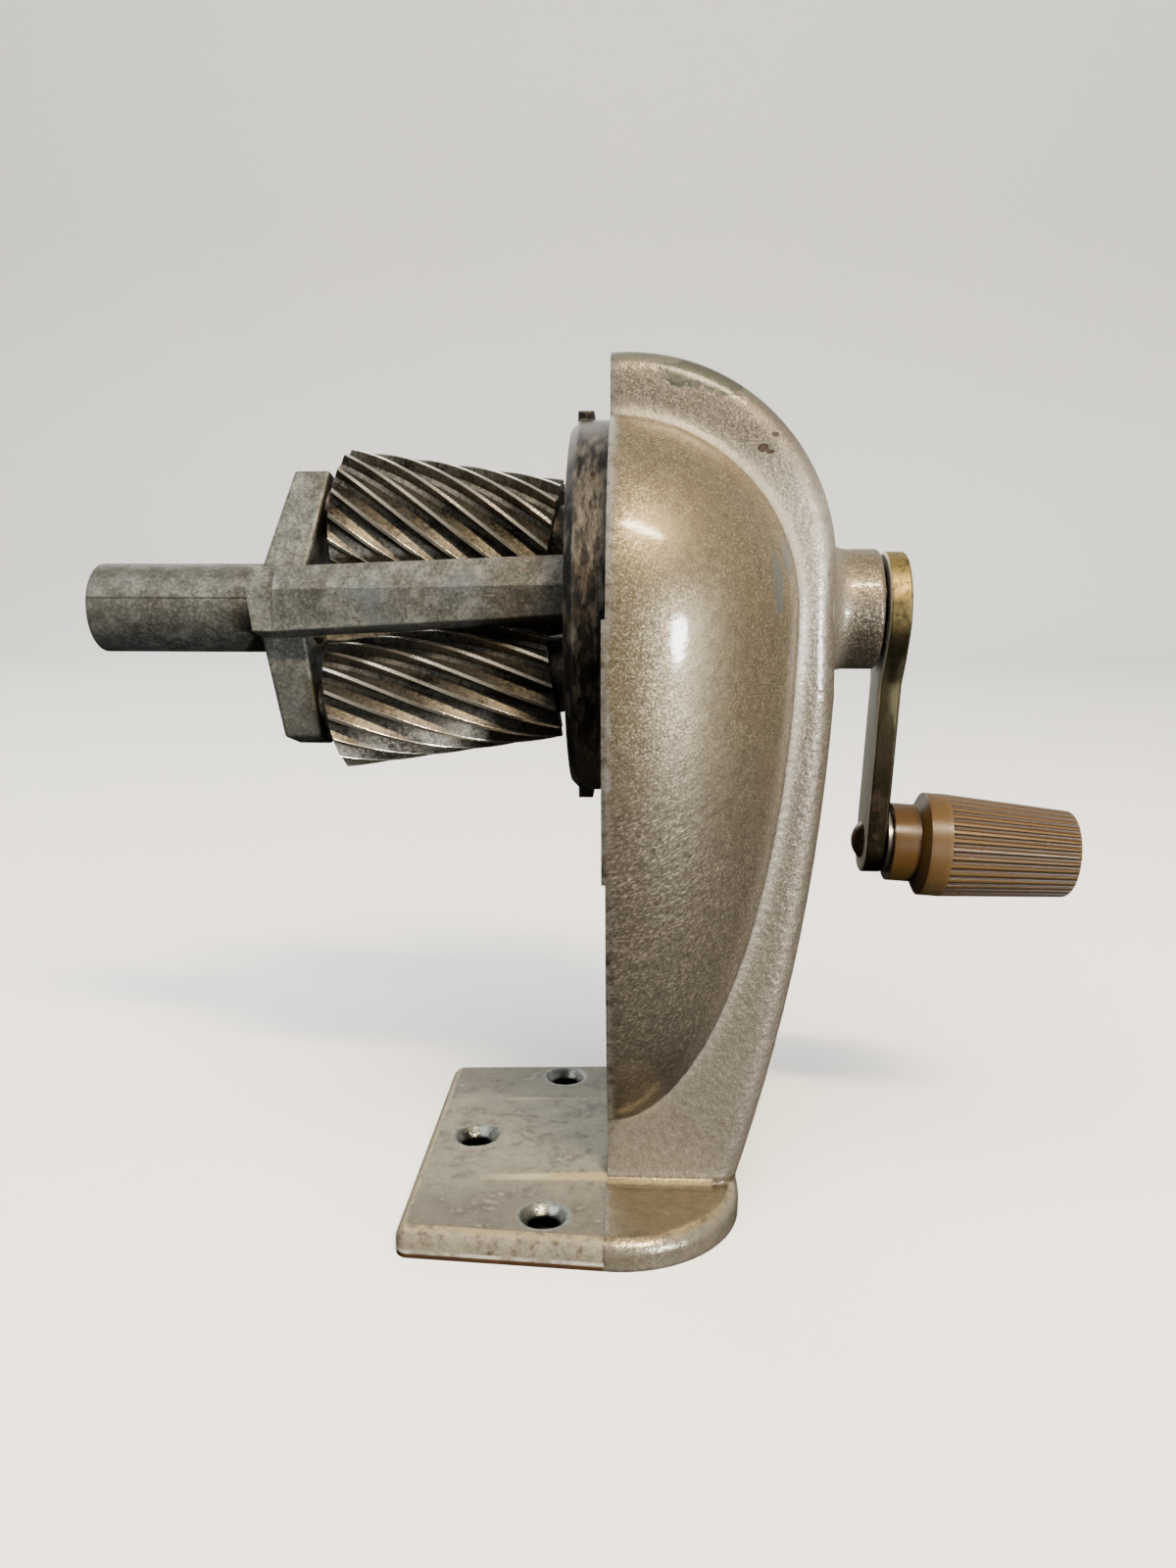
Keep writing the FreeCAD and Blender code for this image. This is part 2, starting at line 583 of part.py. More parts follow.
def draw_ring_seat(body):
    sketch = new_sketch(body, "XZ_Plane", "seat_half", up="sizes.axis_height")
    bore = "(sizes.ring_radius + sizes.seat_clearance)"
    wall = f"({bore} + sizes.collar_wall)"
    lip = "(sizes.ring_seat + sizes.collar_lip)"
    outline(sketch, [
        ("0", bore),
        ("0", wall),
        ("sizes.ring_seat", wall),
        (lip, bore),
        (lip, "sizes.ring_screw_radius - sizes.ring_screw_bore"),
        ("sizes.ring_seat", "sizes.ring_screw_radius - sizes.ring_screw_bore"),
        ("sizes.ring_seat", bore),
    ])
    turned(sketch, "ring_seat_wall")
    clear = new_sketch(body, "XZ_Plane", "seat_bore_half", up="sizes.axis_height")
    outline(clear, [
        ("-1", "0"),
        ("sizes.ring_seat", "0"),
        ("sizes.ring_seat", bore),
        ("-1", bore),
    ])
    return turned(clear, "ring_seat_bore", kind="Groove")


def drill_casting(body):
    primitive(
        body, "SubtractiveCylinder", "spindle_bore",
        along_x(0, 0, size("axis_height")),
        Radius="sizes.spindle_radius + sizes.running_clearance", Height="sizes.boss_end + 1",
    )
    for index, turn in enumerate(ring_screw_turns()):
        y, z = ring_screw_centre(turn)
        primitive(
            body, "SubtractiveCylinder", f"ring_screw_pilot_{index}",
            along_x(size("ring_seat") - 1, y, size("axis_height") + z),
            Radius="sizes.ring_screw_bore / 2 + sizes.seat_clearance", Height="sizes.collar_lip + 2",
        )


def join_foot(body):
    joined = body.newObject("PartDesign::Boolean", "foot_joined")
    joined.Type = "Fuse"
    joined.setObjects([make_foot()])
    body.Tip = joined
    doc.recompute()
    return joined


def make_casting():
    body = new_body("body_casting")
    draw_spine(body)
    join_foot(body)
    draw_shell(body)
    draw_rim_lip(body)
    hollow_shell(body)
    hollow_spine(body)
    draw_boss(body)
    draw_ring_seat(body)
    drill_casting(body)
    return body


# Ring gear and its screws.
def ring_screw_turns():
    """Angles of the ring's screws about the crank axis, from straight up."""
    count = round(size("ring_screw_count"))
    return [360 * (index + 0.5) / count for index in range(count)]


def ring_screw_centre(turn):
    """Offset of a ring screw from the crank axis, across and up."""
    radius = size("ring_screw_radius")
    return radius * math.sin(math.radians(turn)), radius * math.cos(math.radians(turn))


def tooth(sketch, pitch_radius, root, tip):
    """One straight-flanked tooth along the sketch's second axis, from the root line to the tip line."""
    half = "(pi * sizes.gear_module / 4 - sizes.gear_backlash / 4)"
    flank = "tan(sizes.gear_flank * 1 deg)"
    sign = "-" if number(tip) > number(root) else "+"
    root_half = f"({half} {sign} ({root} - {pitch_radius}) * {flank})"
    tip_half = f"({half} {sign} ({tip} - {pitch_radius}) * {flank})"
    corners = [(root_half, root), (tip_half, tip), (f"-{tip_half}", tip), (f"-{root_half}", root)]
    outline(sketch, corners)


def make_ring():
    body = new_body("ring_gear")
    front = "-sizes.ring_proud"
    sketch = new_sketch(body, "XZ_Plane", "ring_half")
    outline(sketch, [
        (front, RING_ROOT),
        (front, "sizes.ring_recess_inner"),
        (f"{front} + sizes.ring_recess", "sizes.ring_recess_inner"),
        (f"{front} + sizes.ring_recess", "sizes.ring_recess_outer"),
        (front, "sizes.ring_recess_outer"),
        (front, "sizes.ring_radius - sizes.ring_chamfer"),
        (f"{front} + sizes.ring_chamfer", "sizes.ring_radius"),
        ("sizes.ring_seat", "sizes.ring_radius"),
        ("sizes.ring_seat", "sizes.ring_relief"),
        (TEETH_BACK, "sizes.ring_relief"),
        (TEETH_BACK, RING_ROOT),
    ])
    turned(sketch, "ring")
    lug_sketch = new_sketch(body, "YZ_Plane", "lug_face", along="-sizes.lug_front")
    outline(lug_sketch, [
        ("-sizes.lug_width / 2", "sizes.ring_radius - sizes.lug_rise"),
        ("sizes.lug_width / 2", "sizes.ring_radius - sizes.lug_rise"),
        ("sizes.lug_width / 2", "sizes.ring_radius + sizes.lug_rise / 2", "sizes.ring_radius", 1),
        ("-sizes.lug_width / 2", "sizes.ring_radius + sizes.lug_rise / 2"),
    ])
    lug = pad(lug_sketch, "sizes.lug_thickness", "lug")
    polar(body, lug, "lugs", "2")
    for index, turn in enumerate(ring_screw_turns()):
        y, z = ring_screw_centre(turn)
        floor = size("ring_recess") - size("ring_proud")
        primitive(
            body, "SubtractiveCylinder", f"ring_screw_hole_{index}", along_x(floor - 1, y, z),
            Radius="sizes.ring_screw_bore / 2 + sizes.seat_clearance",
            Height="sizes.ring_seat + sizes.ring_proud + 2",
        )
        sink = "(sizes.ring_screw_head - sizes.ring_screw_bore) / 2"
        primitive(
            body, "SubtractiveCone", f"ring_screw_sink_{index}", along_x(floor, y, z),
            Radius1="sizes.ring_screw_head / 2 + sizes.seat_clearance",
            Radius2="sizes.ring_screw_bore / 2 + sizes.seat_clearance", Height=sink,
        )
    gap_turn = 180 / size("ring_teeth")
    tooth_sketch = new_sketch(
        body, "YZ_Plane", "ring_tooth", along=front, turn=gap_turn - size("carrier_turn")
    )
    tooth(tooth_sketch, RING_PITCH, f"({RING_ROOT} + {ADDENDUM} / 2)", f"({RING_PITCH} - {ADDENDUM})")
    first = pad(tooth_sketch, f"sizes.ring_proud + {TEETH_BACK}", "tooth_pad")
    polar(body, first, "teeth", "sizes.ring_teeth")
    on_axis(body)
    return body


def make_ring_screws():
    """Three countersunk screws, one node."""
    floor = size("ring_recess") - size("ring_proud")
    sink = (size("ring_screw_head") - size("ring_screw_bore")) / 2
    length = size("ring_seat") + size("collar_lip") - floor
    bore = size("ring_screw_bore") / 2
    head = size("ring_screw_head") / 2
    slot_depth = sink / 2
    slot_width = head / 3
    screws = []
    for turn in ring_screw_turns():
        y, z = ring_screw_centre(turn)
        start = FreeCAD.Vector(floor, y, z)
        screw = Part.makeCylinder(bore, length, start, X_AXIS)
        screw = screw.fuse(Part.makeCone(head, bore, sink, start, X_AXIS)).removeSplitter()
        corner = start - FreeCAD.Vector(1, head + 1, slot_width / 2)
        slot = Part.makeBox(slot_depth + 1, 2 * head + 2, slot_width, corner)
        screws.append(screw.cut(slot))
    feature = doc.addObject("Part::Feature", "ring_screws")
    feature.Label = "ring_screws"
    feature.Shape = Part.makeCompound(screws)
    feature.Placement = FreeCAD.Placement(FreeCAD.Vector(0, 0, size("axis_height")), FreeCAD.Rotation())
    return feature


# Cutters with their pinions, pins and washers, each drawn in the cutter's own frame.
def place_in_carrier(item, half_turn):
    item.Placement = carrier_place() * cutter_place(half_turn)


def make_disc(label, start, thickness, radius, hole):
    """A flat washer round the X axis."""
    body = new_body(label)
    sketch = new_sketch(body, "YZ_Plane", f"{label}_face", along=start)
    circle(sketch, "0", "0", radius)
    circle(sketch, "0", "0", hole)
    pad(sketch, thickness, f"{label}_disc")
    return body


def make_pinion(label, half_turn):
    """The ring has an odd number of teeth, so the lower pinion is half a tooth further round."""
    body = new_body(label)
    root = f"({PINION_PITCH} - {DEDENDUM})"
    core = new_sketch(body, "YZ_Plane", f"{label}_core")
    circle(core, "0", "0", root)
    circle(core, "0", "0", "sizes.cutter_spigot + sizes.seat_clearance")
    pad(core, "sizes.pinion_width", f"{label}_blank", symmetric=True)
    odd = round(size("ring_teeth")) % 2
    turn = odd * half_turn / size("pinion_teeth")
    flanks = new_sketch(body, "YZ_Plane", f"{label}_tooth", turn=turn)
    tooth(flanks, PINION_PITCH, f"({root} - {ADDENDUM} / 2)", f"({PINION_PITCH} + {ADDENDUM})")
    first = pad(flanks, "sizes.pinion_width", f"{label}_tooth_pad", symmetric=True)
    polar(body, first, f"{label}_teeth", "sizes.pinion_teeth")
    place_in_carrier(body, half_turn)
    return body


# One tooth of a cutter: share of the pitch, share of the gullet's depth.
SAW_TOOTH = ((0.0, 0.0), (0.14, 0.0), (0.66, 1.0), (0.9, 0.85))


def toothed_roll():
    """The saw-toothed section, swept along the cutter's axis and turned with the helix."""
    radius = size("cutter_radius")
    teeth = round(size("cutter_teeth"))
    back = FreeCAD.Vector(-number(CUTTER_BACK), 0, 0)
    front = FreeCAD.Vector(-number(CUTTER_FRONT), 0, 0)
    corners = []
    for index in range(teeth):
        for share, depth in SAW_TOOTH:
            turn = 2 * math.pi * (index + share) / teeth
            reach = radius - size("cutter_gullet") * depth
            corners.append(back + FreeCAD.Vector(0, reach * math.sin(turn), reach * math.cos(turn)))
    lead = 2 * math.pi * radius / math.tan(math.radians(size("cutter_helix")))
    helix = Part.makeHelix(lead, size("cutter_length"), radius)
    helix.Placement = FreeCAD.Placement(back, FreeCAD.Rotation(Y_AXIS, -90))
    sweep = Part.BRepOffsetAPI.MakePipeShell(Part.Wire(Part.makeLine(back, front)))
    sweep.setAuxiliarySpine(Part.Wire(helix.Edges), True, 0)
    sweep.add(Part.makePolygon(corners + corners[:1]))
    sweep.build()
    sweep.makeSolid()
    return sweep.shape()


def make_cutter(label, half_turn):
    """Toothed roll with a bevelled front end, a neck, and a spigot that carries the pinion."""
    back = -number(CUTTER_BACK)
    front = -number(CUTTER_FRONT)
    bevel = size("cutter_bevel")
    half_pinion = size("pinion_width") / 2
    blank = size("cutter_radius") * 1.01
    cone = Part.makeCone(size("cutter_bevel_radius"), blank, bevel, FreeCAD.Vector(front, 0, 0), X_AXIS)
    length = size("cutter_length") - bevel
    envelope = cone.fuse(Part.makeCylinder(blank, length, FreeCAD.Vector(front + bevel, 0, 0), X_AXIS))
    roll = toothed_roll().common(envelope)
    neck_start = FreeCAD.Vector(back, 0, 0)
    neck = Part.makeCylinder(size("cutter_neck_radius"), size("cutter_neck"), neck_start, X_AXIS)
    spigot = Part.makeCylinder(size("cutter_spigot"), half_pinion - back, neck_start, X_AXIS)
    bore_start = FreeCAD.Vector(front - 1, 0, 0)
    bore = Part.makeCylinder(
        size("pin_radius") + size("running_clearance"), half_pinion - front + 2, bore_start, X_AXIS
    )
    feature = doc.addObject("Part::Feature", label)
    feature.Label = label
    feature.Shape = roll.fuse([neck, spigot]).cut(bore).Solids[0]
    place_in_carrier(feature, half_turn)
    return feature


def make_pin(label, half_turn):
    pin = doc.addObject("Part::Cylinder", label)
    pin.Label = label
    pin.setExpression("Radius", "sizes.pin_radius")
    pin.setExpression("Height", f"{PIN_FRONT} + {PIN_BACK}")
    doc.recompute()
    pin.Placement = carrier_place() * cutter_place(half_turn) * along_x(-number(PIN_FRONT))
    return pin


def make_cutter_set(side, half_turn):
    hole = "sizes.pin_radius + sizes.seat_clearance"
    front = make_disc(
        f"{side}_front_washer", f"-({CUTTER_FRONT} + sizes.end_play + sizes.front_washer)",
        "sizes.front_washer", "sizes.washer_radius", hole,
    )
    rear = make_disc(
        f"{side}_rear_washer", "sizes.pinion_width / 2 + sizes.end_play",
        "sizes.rear_washer", "sizes.washer_radius", hole,
    )
    for washer in (front, rear):
        place_in_carrier(washer, half_turn)
    return [
        make_cutter(f"{side}_cutter", half_turn),
        make_pinion(f"{side}_pinion", half_turn),
        make_pin(f"{side}_cutter_pin", half_turn),
        front,
        rear,
    ]


# Carrier: pencil tube, end plate, two bars, bridge and hub in one casting.
def chevron(sketch, above, below):
    """Side view of the end plate: a ridge in front, faces square to the cutters' axes behind."""
    outline(sketch, [
        (f"(-{PLATE_NOSE} + {PLATE_SLOPE} * ({above}))", above),
        (f"-{PLATE_NOSE}", "0"),
        (f"(-{PLATE_NOSE} + {PLATE_SLOPE} * ({below}))", f"-({below})"),
        (face_x(PLATE_FACE, below), f"-({below})"),
        (f"-{PLATE_HOLLOW}", "0"),
        (face_x(PLATE_FACE, above), above),
    ])


def draw_plate(body):
    sketch = new_sketch(body, "XZ_Plane", "plate_side")
    chevron(sketch, "sizes.plate_reach", "sizes.plate_reach")
    pad(sketch, "sizes.plate_width", "plate", symmetric=True)
    trim = new_sketch(body, "YZ_Plane", "plate_front", along=f"-{PLATE_NOSE}")
    square(trim, "4 * sizes.plate_reach")
    wide = "sizes.plate_width / 2"
    narrow = "sizes.plate_tip_width / 2"
    outline(trim, [
        (wide, "-sizes.bar_front_height / 2"),
        (wide, "sizes.bar_front_height / 2"),
        (narrow, "sizes.plate_reach"),
        (f"-{narrow}", "sizes.plate_reach"),
        (f"-{wide}", "sizes.bar_front_height / 2"),
        (f"-{wide}", "-sizes.bar_front_height / 2"),
        (f"-{narrow}", "-sizes.plate_reach"),
        (narrow, "-sizes.plate_reach"),
    ])
    plate = pad(trim, "4 * sizes.plate_reach", "plate_taper", symmetric=True, kind="Pocket")
    hollow = -number(PLATE_HOLLOW)
    rounded(
        body, plate, "plate_edges", "sizes.plate_edge",
        lambda edge: not all(lies_at(vertex.X, hollow) for vertex in edge.Vertexes),
    )
    cross = new_sketch(body, "XZ_Plane", "plate_cross")
    half = "sizes.bar_front_height / 2"
    chevron(cross, f"{half} - sizes.bar_front_drop", f"{half} + sizes.bar_front_drop")
    arm = pad(cross, "sizes.bar_front_ridge - sizes.bar_ridge", "plate_arm")
    return polar(body, arm, "plate_arms", "2")


def bar_section(body, name, along, end):
    """The far bar across: flat towards the pencil, a low ridge outwards."""
    sketch = new_sketch(body, "YZ_Plane", name, along=along)
    inner = f"sizes.bar_{end}_inner"
    ridge = f"sizes.bar_{end}_ridge"
    top = f"sizes.bar_{end}_height / 2 + sizes.bar_{end}_drop"
    bottom = f"sizes.bar_{end}_drop - sizes.bar_{end}_height / 2"
    outline(sketch, [
        (inner, bottom),
        (f"{ridge} - sizes.bar_ridge", bottom),
        (ridge, "0"),
        (f"{ridge} - sizes.bar_ridge", top),
        (inner, top),
    ])
    return sketch


def draw_bars(body):
    front = bar_section(body, "bar_front", face_x(f"{PLATE_FACE} + sizes.plate_tip / 2", "0"), "front")
    back = bar_section(body, "bar_back", "sizes.bridge_front + sizes.bridge_thickness / 2", "back")
    bar = sketch_feature("AdditiveLoft", front, "bar")
    bar.Sections = [back]
    bar.Ruled = True
    doc.recompute()
    return polar(body, bar, "bars", "2")


def draw_tube(body):
    sketch = new_sketch(body, "XZ_Plane", "tube_half")
    stop = f"-{PLATE_HOLLOW}"
    outline(sketch, [
        ("-sizes.tube_end", "sizes.tube_bore"),
        (stop, "sizes.tube_bore"),
        (stop, "sizes.tube_radius"),
        ("-sizes.tube_end + sizes.tube_edge", "sizes.tube_radius", "sizes.tube_edge", 1),
        ("-sizes.tube_end", "sizes.tube_radius - sizes.tube_edge"),
    ])
    return turned(sketch, "tube")


def draw_hub(body):
    """The bridge behind the pinions and the hub on the spindle."""
    sketch = new_sketch(body, "XZ_Plane", "hub_half")
    bridge_back = "(sizes.bridge_front + sizes.bridge_thickness)"
    hub_end = "(sizes.boss_inner_end - 2 * sizes.end_play)"
    outline(sketch, [
        ("sizes.bridge_front", "0"),
        (hub_end, "0"),
        (hub_end, "sizes.hub_radius"),
        (bridge_back, "sizes.hub_radius"),
        (bridge_back, "sizes.bridge_radius"),
        ("sizes.bridge_front", "sizes.bridge_radius"),
    ])
    turned(sketch, "hub")
    for half_turn in HALF_TURNS:
        primitive(
            body, "AdditiveCylinder", f"rest_{half_turn}",
            cutter_place(half_turn) * along_x(number(REST_FACE)),
            Radius="sizes.washer_radius", Height=f"{PIN_BACK} - {REST_FACE}",
        )


def drill_carrier(body):
    for half_turn in HALF_TURNS:
        primitive(
            body, "SubtractiveCylinder", f"pin_hole_{half_turn}",
            cutter_place(half_turn) * along_x(-number(PIN_FRONT) - size("plate_tip")),
            Radius="sizes.pin_radius + sizes.seat_clearance",
            Height=f"{PIN_FRONT} + sizes.plate_tip + {PIN_BACK} + sizes.seat_clearance",
        )
    primitive(
        body, "SubtractiveCylinder", "pencil_bore", along_x(-size("tube_end") - 1),
        Radius="sizes.tube_bore", Height=f"sizes.tube_end + 1 - {PLATE_HOLLOW} + sizes.plate_tip",
    )
    primitive(
        body, "SubtractiveCylinder", "spindle_hole", along_x(size("spindle_start")),
        Radius="sizes.spindle_radius + sizes.seat_clearance", Height="sizes.boss_inner_end",
    )
    primitive(
        body, "SubtractiveCylinder", "cross_pin_hole", cross_pin_place(size("hub_radius") + 1),
        Radius="sizes.cross_pin_radius + sizes.seat_clearance", Height="2 * sizes.hub_radius + 2",
    )


def cross_pin_place(reach):
    """Across the hub, half way along it, from `reach` on one side."""
    x = (size("bridge_front") + size("bridge_thickness") + size("boss_inner_end")) / 2
    return FreeCAD.Placement(FreeCAD.Vector(x, -reach, 0), FreeCAD.Rotation(X_AXIS, -90))


def make_carrier():
    body = new_body("cutter_carrier")
    draw_plate(body)
    draw_bars(body)
    draw_tube(body)
    draw_hub(body)
    drill_carrier(body)
    body.Placement = carrier_place()
    return body


# Spindle and crank.
def make_spindle():
    body = new_body("crank_spindle")
    shaft = new_sketch(body, "YZ_Plane", "shaft", along="sizes.spindle_start + sizes.seat_clearance")
    circle(shaft, "0", "0", "sizes.spindle_radius")
    pad(shaft, f"{ARM_INNER} - sizes.spindle_start - sizes.seat_clearance", "shaft_pad")
    turn = size("carrier_turn")
    end = new_sketch(body, "YZ_Plane", "square_end", along=ARM_INNER, turn=turn)
    square(end, "sizes.spindle_square")
    pad(end, "sizes.arm_thickness", "square_pad")
    primitive(
        body, "SubtractiveCylinder", "spindle_cross_hole", cross_pin_place(size("hub_radius")),
        Radius="sizes.cross_pin_radius + sizes.seat_clearance", Height="2 * sizes.hub_radius",
    )
    body.Placement = carrier_place()
    return body


def square(sketch, width):
    half = f"({width}) / 2"
    outline(sketch, [(half, half), (f"-{half}", half), (f"-{half}", f"-{half}"), (half, f"-{half}")])


def make_cross_pin():
    pin = doc.addObject("Part::Cylinder", "spindle_cross_pin")
    pin.Label = "spindle_cross_pin"
    pin.setExpression("Radius", "sizes.cross_pin_radius")
    pin.setExpression("Height", "2 * (sizes.hub_radius - sizes.end_play)")
    doc.recompute()
    pin.Placement = carrier_place() * cross_pin_place(size("hub_radius") - size("end_play"))
    return pin


def bend_end(radius):
    """How far below the crank axis a face of the arm, of that bend radius, ends its bend."""
    return f"(sizes.arm_bend_drop + {radius} * sin({BEND}))"


def arm_face(radius, drop):
    """X of a face of the arm below its bend."""
    return f"({BEND_X} + {radius} * cos({BEND}) - ({drop} - {bend_end(radius)}) * tan({BEND}))"


def make_arm():
    """A strip, bent a little towards the stand, trimmed to its outline."""
    body = new_body("crank_arm")
    low = "(sizes.arm_tail + sizes.arm_hub_radius)"
    side = new_sketch(body, "XZ_Plane", "arm_side")
    outer_radius = "(sizes.arm_bend_radius + sizes.arm_thickness)"
    outline(side, [
        (arm_face("sizes.arm_bend_radius", low), f"-{low}"),
        (arm_face(outer_radius, low), f"-{low}"),
        (f"{BEND_X} + {outer_radius} * cos({BEND})", f"-{bend_end(outer_radius)}", outer_radius, 1),
        (ARM_OUTER, "-sizes.arm_bend_drop"),
        (ARM_OUTER, "sizes.arm_hub_radius"),
        (ARM_INNER, "sizes.arm_hub_radius"),
        (ARM_INNER, "-sizes.arm_bend_drop", "sizes.arm_bend_radius", -1),
        (f"{BEND_X} + sizes.arm_bend_radius * cos({BEND})", f"-{bend_end('sizes.arm_bend_radius')}"),
    ])
    pad(side, "2 * sizes.arm_hub_radius", "arm_strip", symmetric=True)
    trim = new_sketch(body, "YZ_Plane", "arm_outline", along=ARM_INNER)
    square(trim, f"4 * {low}")
    hub = "sizes.arm_hub_radius"
    half = "sizes.arm_half_width"
    tangent = f"(acos({hub} / sqrt({half} ^ 2 + sizes.arm_neck ^ 2)) - atan(sizes.arm_neck / {half}))"
    outline(trim, [
        (half, "-sizes.arm_neck"),
        (f"{hub} * cos({tangent})", f"{hub} * sin({tangent})", hub, 1),
        ("0", hub, hub, 1),
        (f"-{hub} * cos({tangent})", f"{hub} * sin({tangent})"),
        (f"-{half}", "-sizes.arm_neck"),
        (f"-{half}", "-sizes.arm_tail", half, 1),
        ("0", f"-(sizes.arm_tail + {half})", half, 1),
        (half, "-sizes.arm_tail"),
    ])
    trimmed = pad(trim, f"4 * {low}", "arm_trim", symmetric=True, kind="Pocket")
    rounded(
        body, trimmed, "arm_edges", "sizes.arm_edge",
        lambda edge: not lies_at(edge.Vertexes[0].Z, edge.Vertexes[-1].Z, size("arm_edge")),
    )
    hole = new_sketch(body, "YZ_Plane", "arm_square", along=ARM_INNER)
    square(hole, "sizes.spindle_square + 2 * sizes.seat_clearance")
    pad(hole, "4 * sizes.arm_thickness", "arm_square_hole", symmetric=True, kind="Pocket")
    primitive(
        body, "SubtractiveCylinder", "rivet_hole", knob_place() * along_x(-2 * size("arm_thickness")),
        Radius="sizes.rivet_radius + sizes.seat_clearance", Height="4 * sizes.arm_thickness",
    )
    on_axis(body)
    return body


# Knob on its rivet, drawn in the knob's own frame.
def knob_place():
    """Origin just off the arm's outer face, X outwards along the rivet, from the crank axis."""
    outer_radius = "(sizes.arm_bend_radius + sizes.arm_thickness)"
    on_face = FreeCAD.Placement(
        FreeCAD.Vector(number(arm_face(outer_radius, "sizes.crank_radius")), 0, -size("crank_radius")),
        FreeCAD.Rotation(Y_AXIS, size("knob_droop")),
    )
    return on_face * FreeCAD.Placement(FreeCAD.Vector(number(KNOB_GAP), 0, 0), FreeCAD.Rotation())


def place_on_arm(item):
    lift = FreeCAD.Placement(FreeCAD.Vector(0, 0, size("axis_height")), FreeCAD.Rotation())
    item.Placement = lift * knob_place()


def make_rivet():
    body = new_body("knob_rivet")
    sketch = new_sketch(body, "XZ_Plane", "rivet_half")
    dome = "((sizes.rivet_head_radius ^ 2 + sizes.rivet_head ^ 2) / (2 * sizes.rivet_head))"
    flange = f"({KNOB_END} - sizes.knob_recess + sizes.end_play)"
    outline(sketch, [
        (f"-{RIVET_SEAT} - sizes.rivet_head", "0"),
        (f"{flange} + sizes.rivet_flange", "0"),
        (f"{flange} + sizes.rivet_flange", "sizes.rivet_flange_radius"),
        (flange, "sizes.rivet_flange_radius"),
        (flange, "sizes.rivet_radius"),
        (f"-{RIVET_SEAT}", "sizes.rivet_radius"),
        (f"-{RIVET_SEAT}", "sizes.rivet_head_radius", dome, 1),
    ])
    turned(sketch, "rivet")
    place_on_arm(body)
    return body


def make_knob():
    body = new_body("crank_knob")
    sketch = new_sketch(body, "XZ_Plane", "knob_half")
    bore = "(sizes.rivet_radius + sizes.running_clearance)"
    start = "(sizes.knob_washer + sizes.end_play)"
    step = f"({start} + sizes.knob_collar)"
    band = f"({step} + sizes.knob_step)"
    grip = f"({band} + sizes.knob_band)"
    outline(sketch, [
        (start, bore),
        (f"{KNOB_END} - sizes.knob_recess", bore),
        (f"{KNOB_END} - sizes.knob_recess", "sizes.knob_recess_radius"),
        (KNOB_END, "sizes.knob_recess_radius"),
        (KNOB_END, "sizes.knob_small_radius - sizes.knob_edge", "sizes.knob_edge", 1),
        (f"{KNOB_END} - sizes.knob_edge", "sizes.knob_small_radius"),
        (grip, "sizes.knob_big_radius"),
        (band, "sizes.knob_big_radius"),
        (step, "sizes.knob_collar_radius"),
        (start, "sizes.knob_collar_radius"),
    ])
    turned(sketch, "knob")
    taper = math.degrees(math.atan(
        (size("knob_big_radius") - size("knob_small_radius")) / size("knob_grip")
    ))
    height = size("knob_big_radius") + size("flute_radius") - size("flute_depth")
    lay = FreeCAD.Placement(
        FreeCAD.Vector(number(grip), 0, height), FreeCAD.Rotation(Y_AXIS, 90 + taper)
    )
    flute = primitive(
        body, "SubtractiveCylinder", "flute", lay, Radius="sizes.flute_radius", Height="2 * sizes.knob_grip"
    )
    polar(body, flute, "flutes", "sizes.flute_count")
    place_on_arm(body)
    return body


def make_crank():
    spindle_washer = make_disc(
        "spindle_washer", "sizes.boss_end + sizes.end_play", "sizes.spindle_washer",
        "sizes.spindle_washer_radius", "sizes.spindle_radius + sizes.seat_clearance",
    )
    on_axis(spindle_washer)
    knob_washer = make_disc(
        "knob_washer", "0", "sizes.knob_washer", "sizes.knob_washer_radius",
        "sizes.rivet_radius + sizes.seat_clearance",
    )
    place_on_arm(knob_washer)
    return [
        make_spindle(),
        make_cross_pin(),
        spindle_washer,
        make_arm(),
        make_rivet(),
        knob_washer,
        make_knob(),
    ]


pieces = [make_casting(), make_ring(), make_ring_screws(), make_carrier()]
for side, half_turn in zip(("upper", "lower"), HALF_TURNS):
    pieces += make_cutter_set(side, half_turn)
pieces += make_crank()
doc.recompute()

failed = [item.Label for item in doc.Objects if {"Invalid", "Error"} & set(item.State)]
for piece in pieces:
    if piece.Shape.isNull() or not piece.Shape.isValid():
        failed.append(piece.Label)
if failed:
    raise RuntimeError(f"features that did not build: {failed}")

os.makedirs("parts", exist_ok=True)
for piece in pieces:
    piece.Shape.exportStep(f"parts/{piece.Label}.step")
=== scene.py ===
import json
import math
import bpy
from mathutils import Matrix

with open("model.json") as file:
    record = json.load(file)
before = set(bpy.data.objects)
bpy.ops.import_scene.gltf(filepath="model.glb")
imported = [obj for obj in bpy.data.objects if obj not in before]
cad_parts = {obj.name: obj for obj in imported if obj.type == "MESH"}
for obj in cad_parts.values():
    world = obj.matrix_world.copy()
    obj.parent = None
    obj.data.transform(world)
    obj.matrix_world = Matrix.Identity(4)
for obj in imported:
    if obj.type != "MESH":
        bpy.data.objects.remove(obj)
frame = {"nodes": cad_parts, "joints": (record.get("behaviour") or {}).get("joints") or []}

from types import SimpleNamespace

import bmesh
import bpy
from mathutils import Matrix, Vector

bl_info = {
    "name": "Crank pencil sharpener",
    "version": (1, 0, 0),
    "blender": (4, 5, 0),
    "location": "3D View > Sidebar > Sharpener",
    "description": "Finishes, light and camera for a worn crank pencil sharpener with its drum taken off",
    "category": "Material",
}

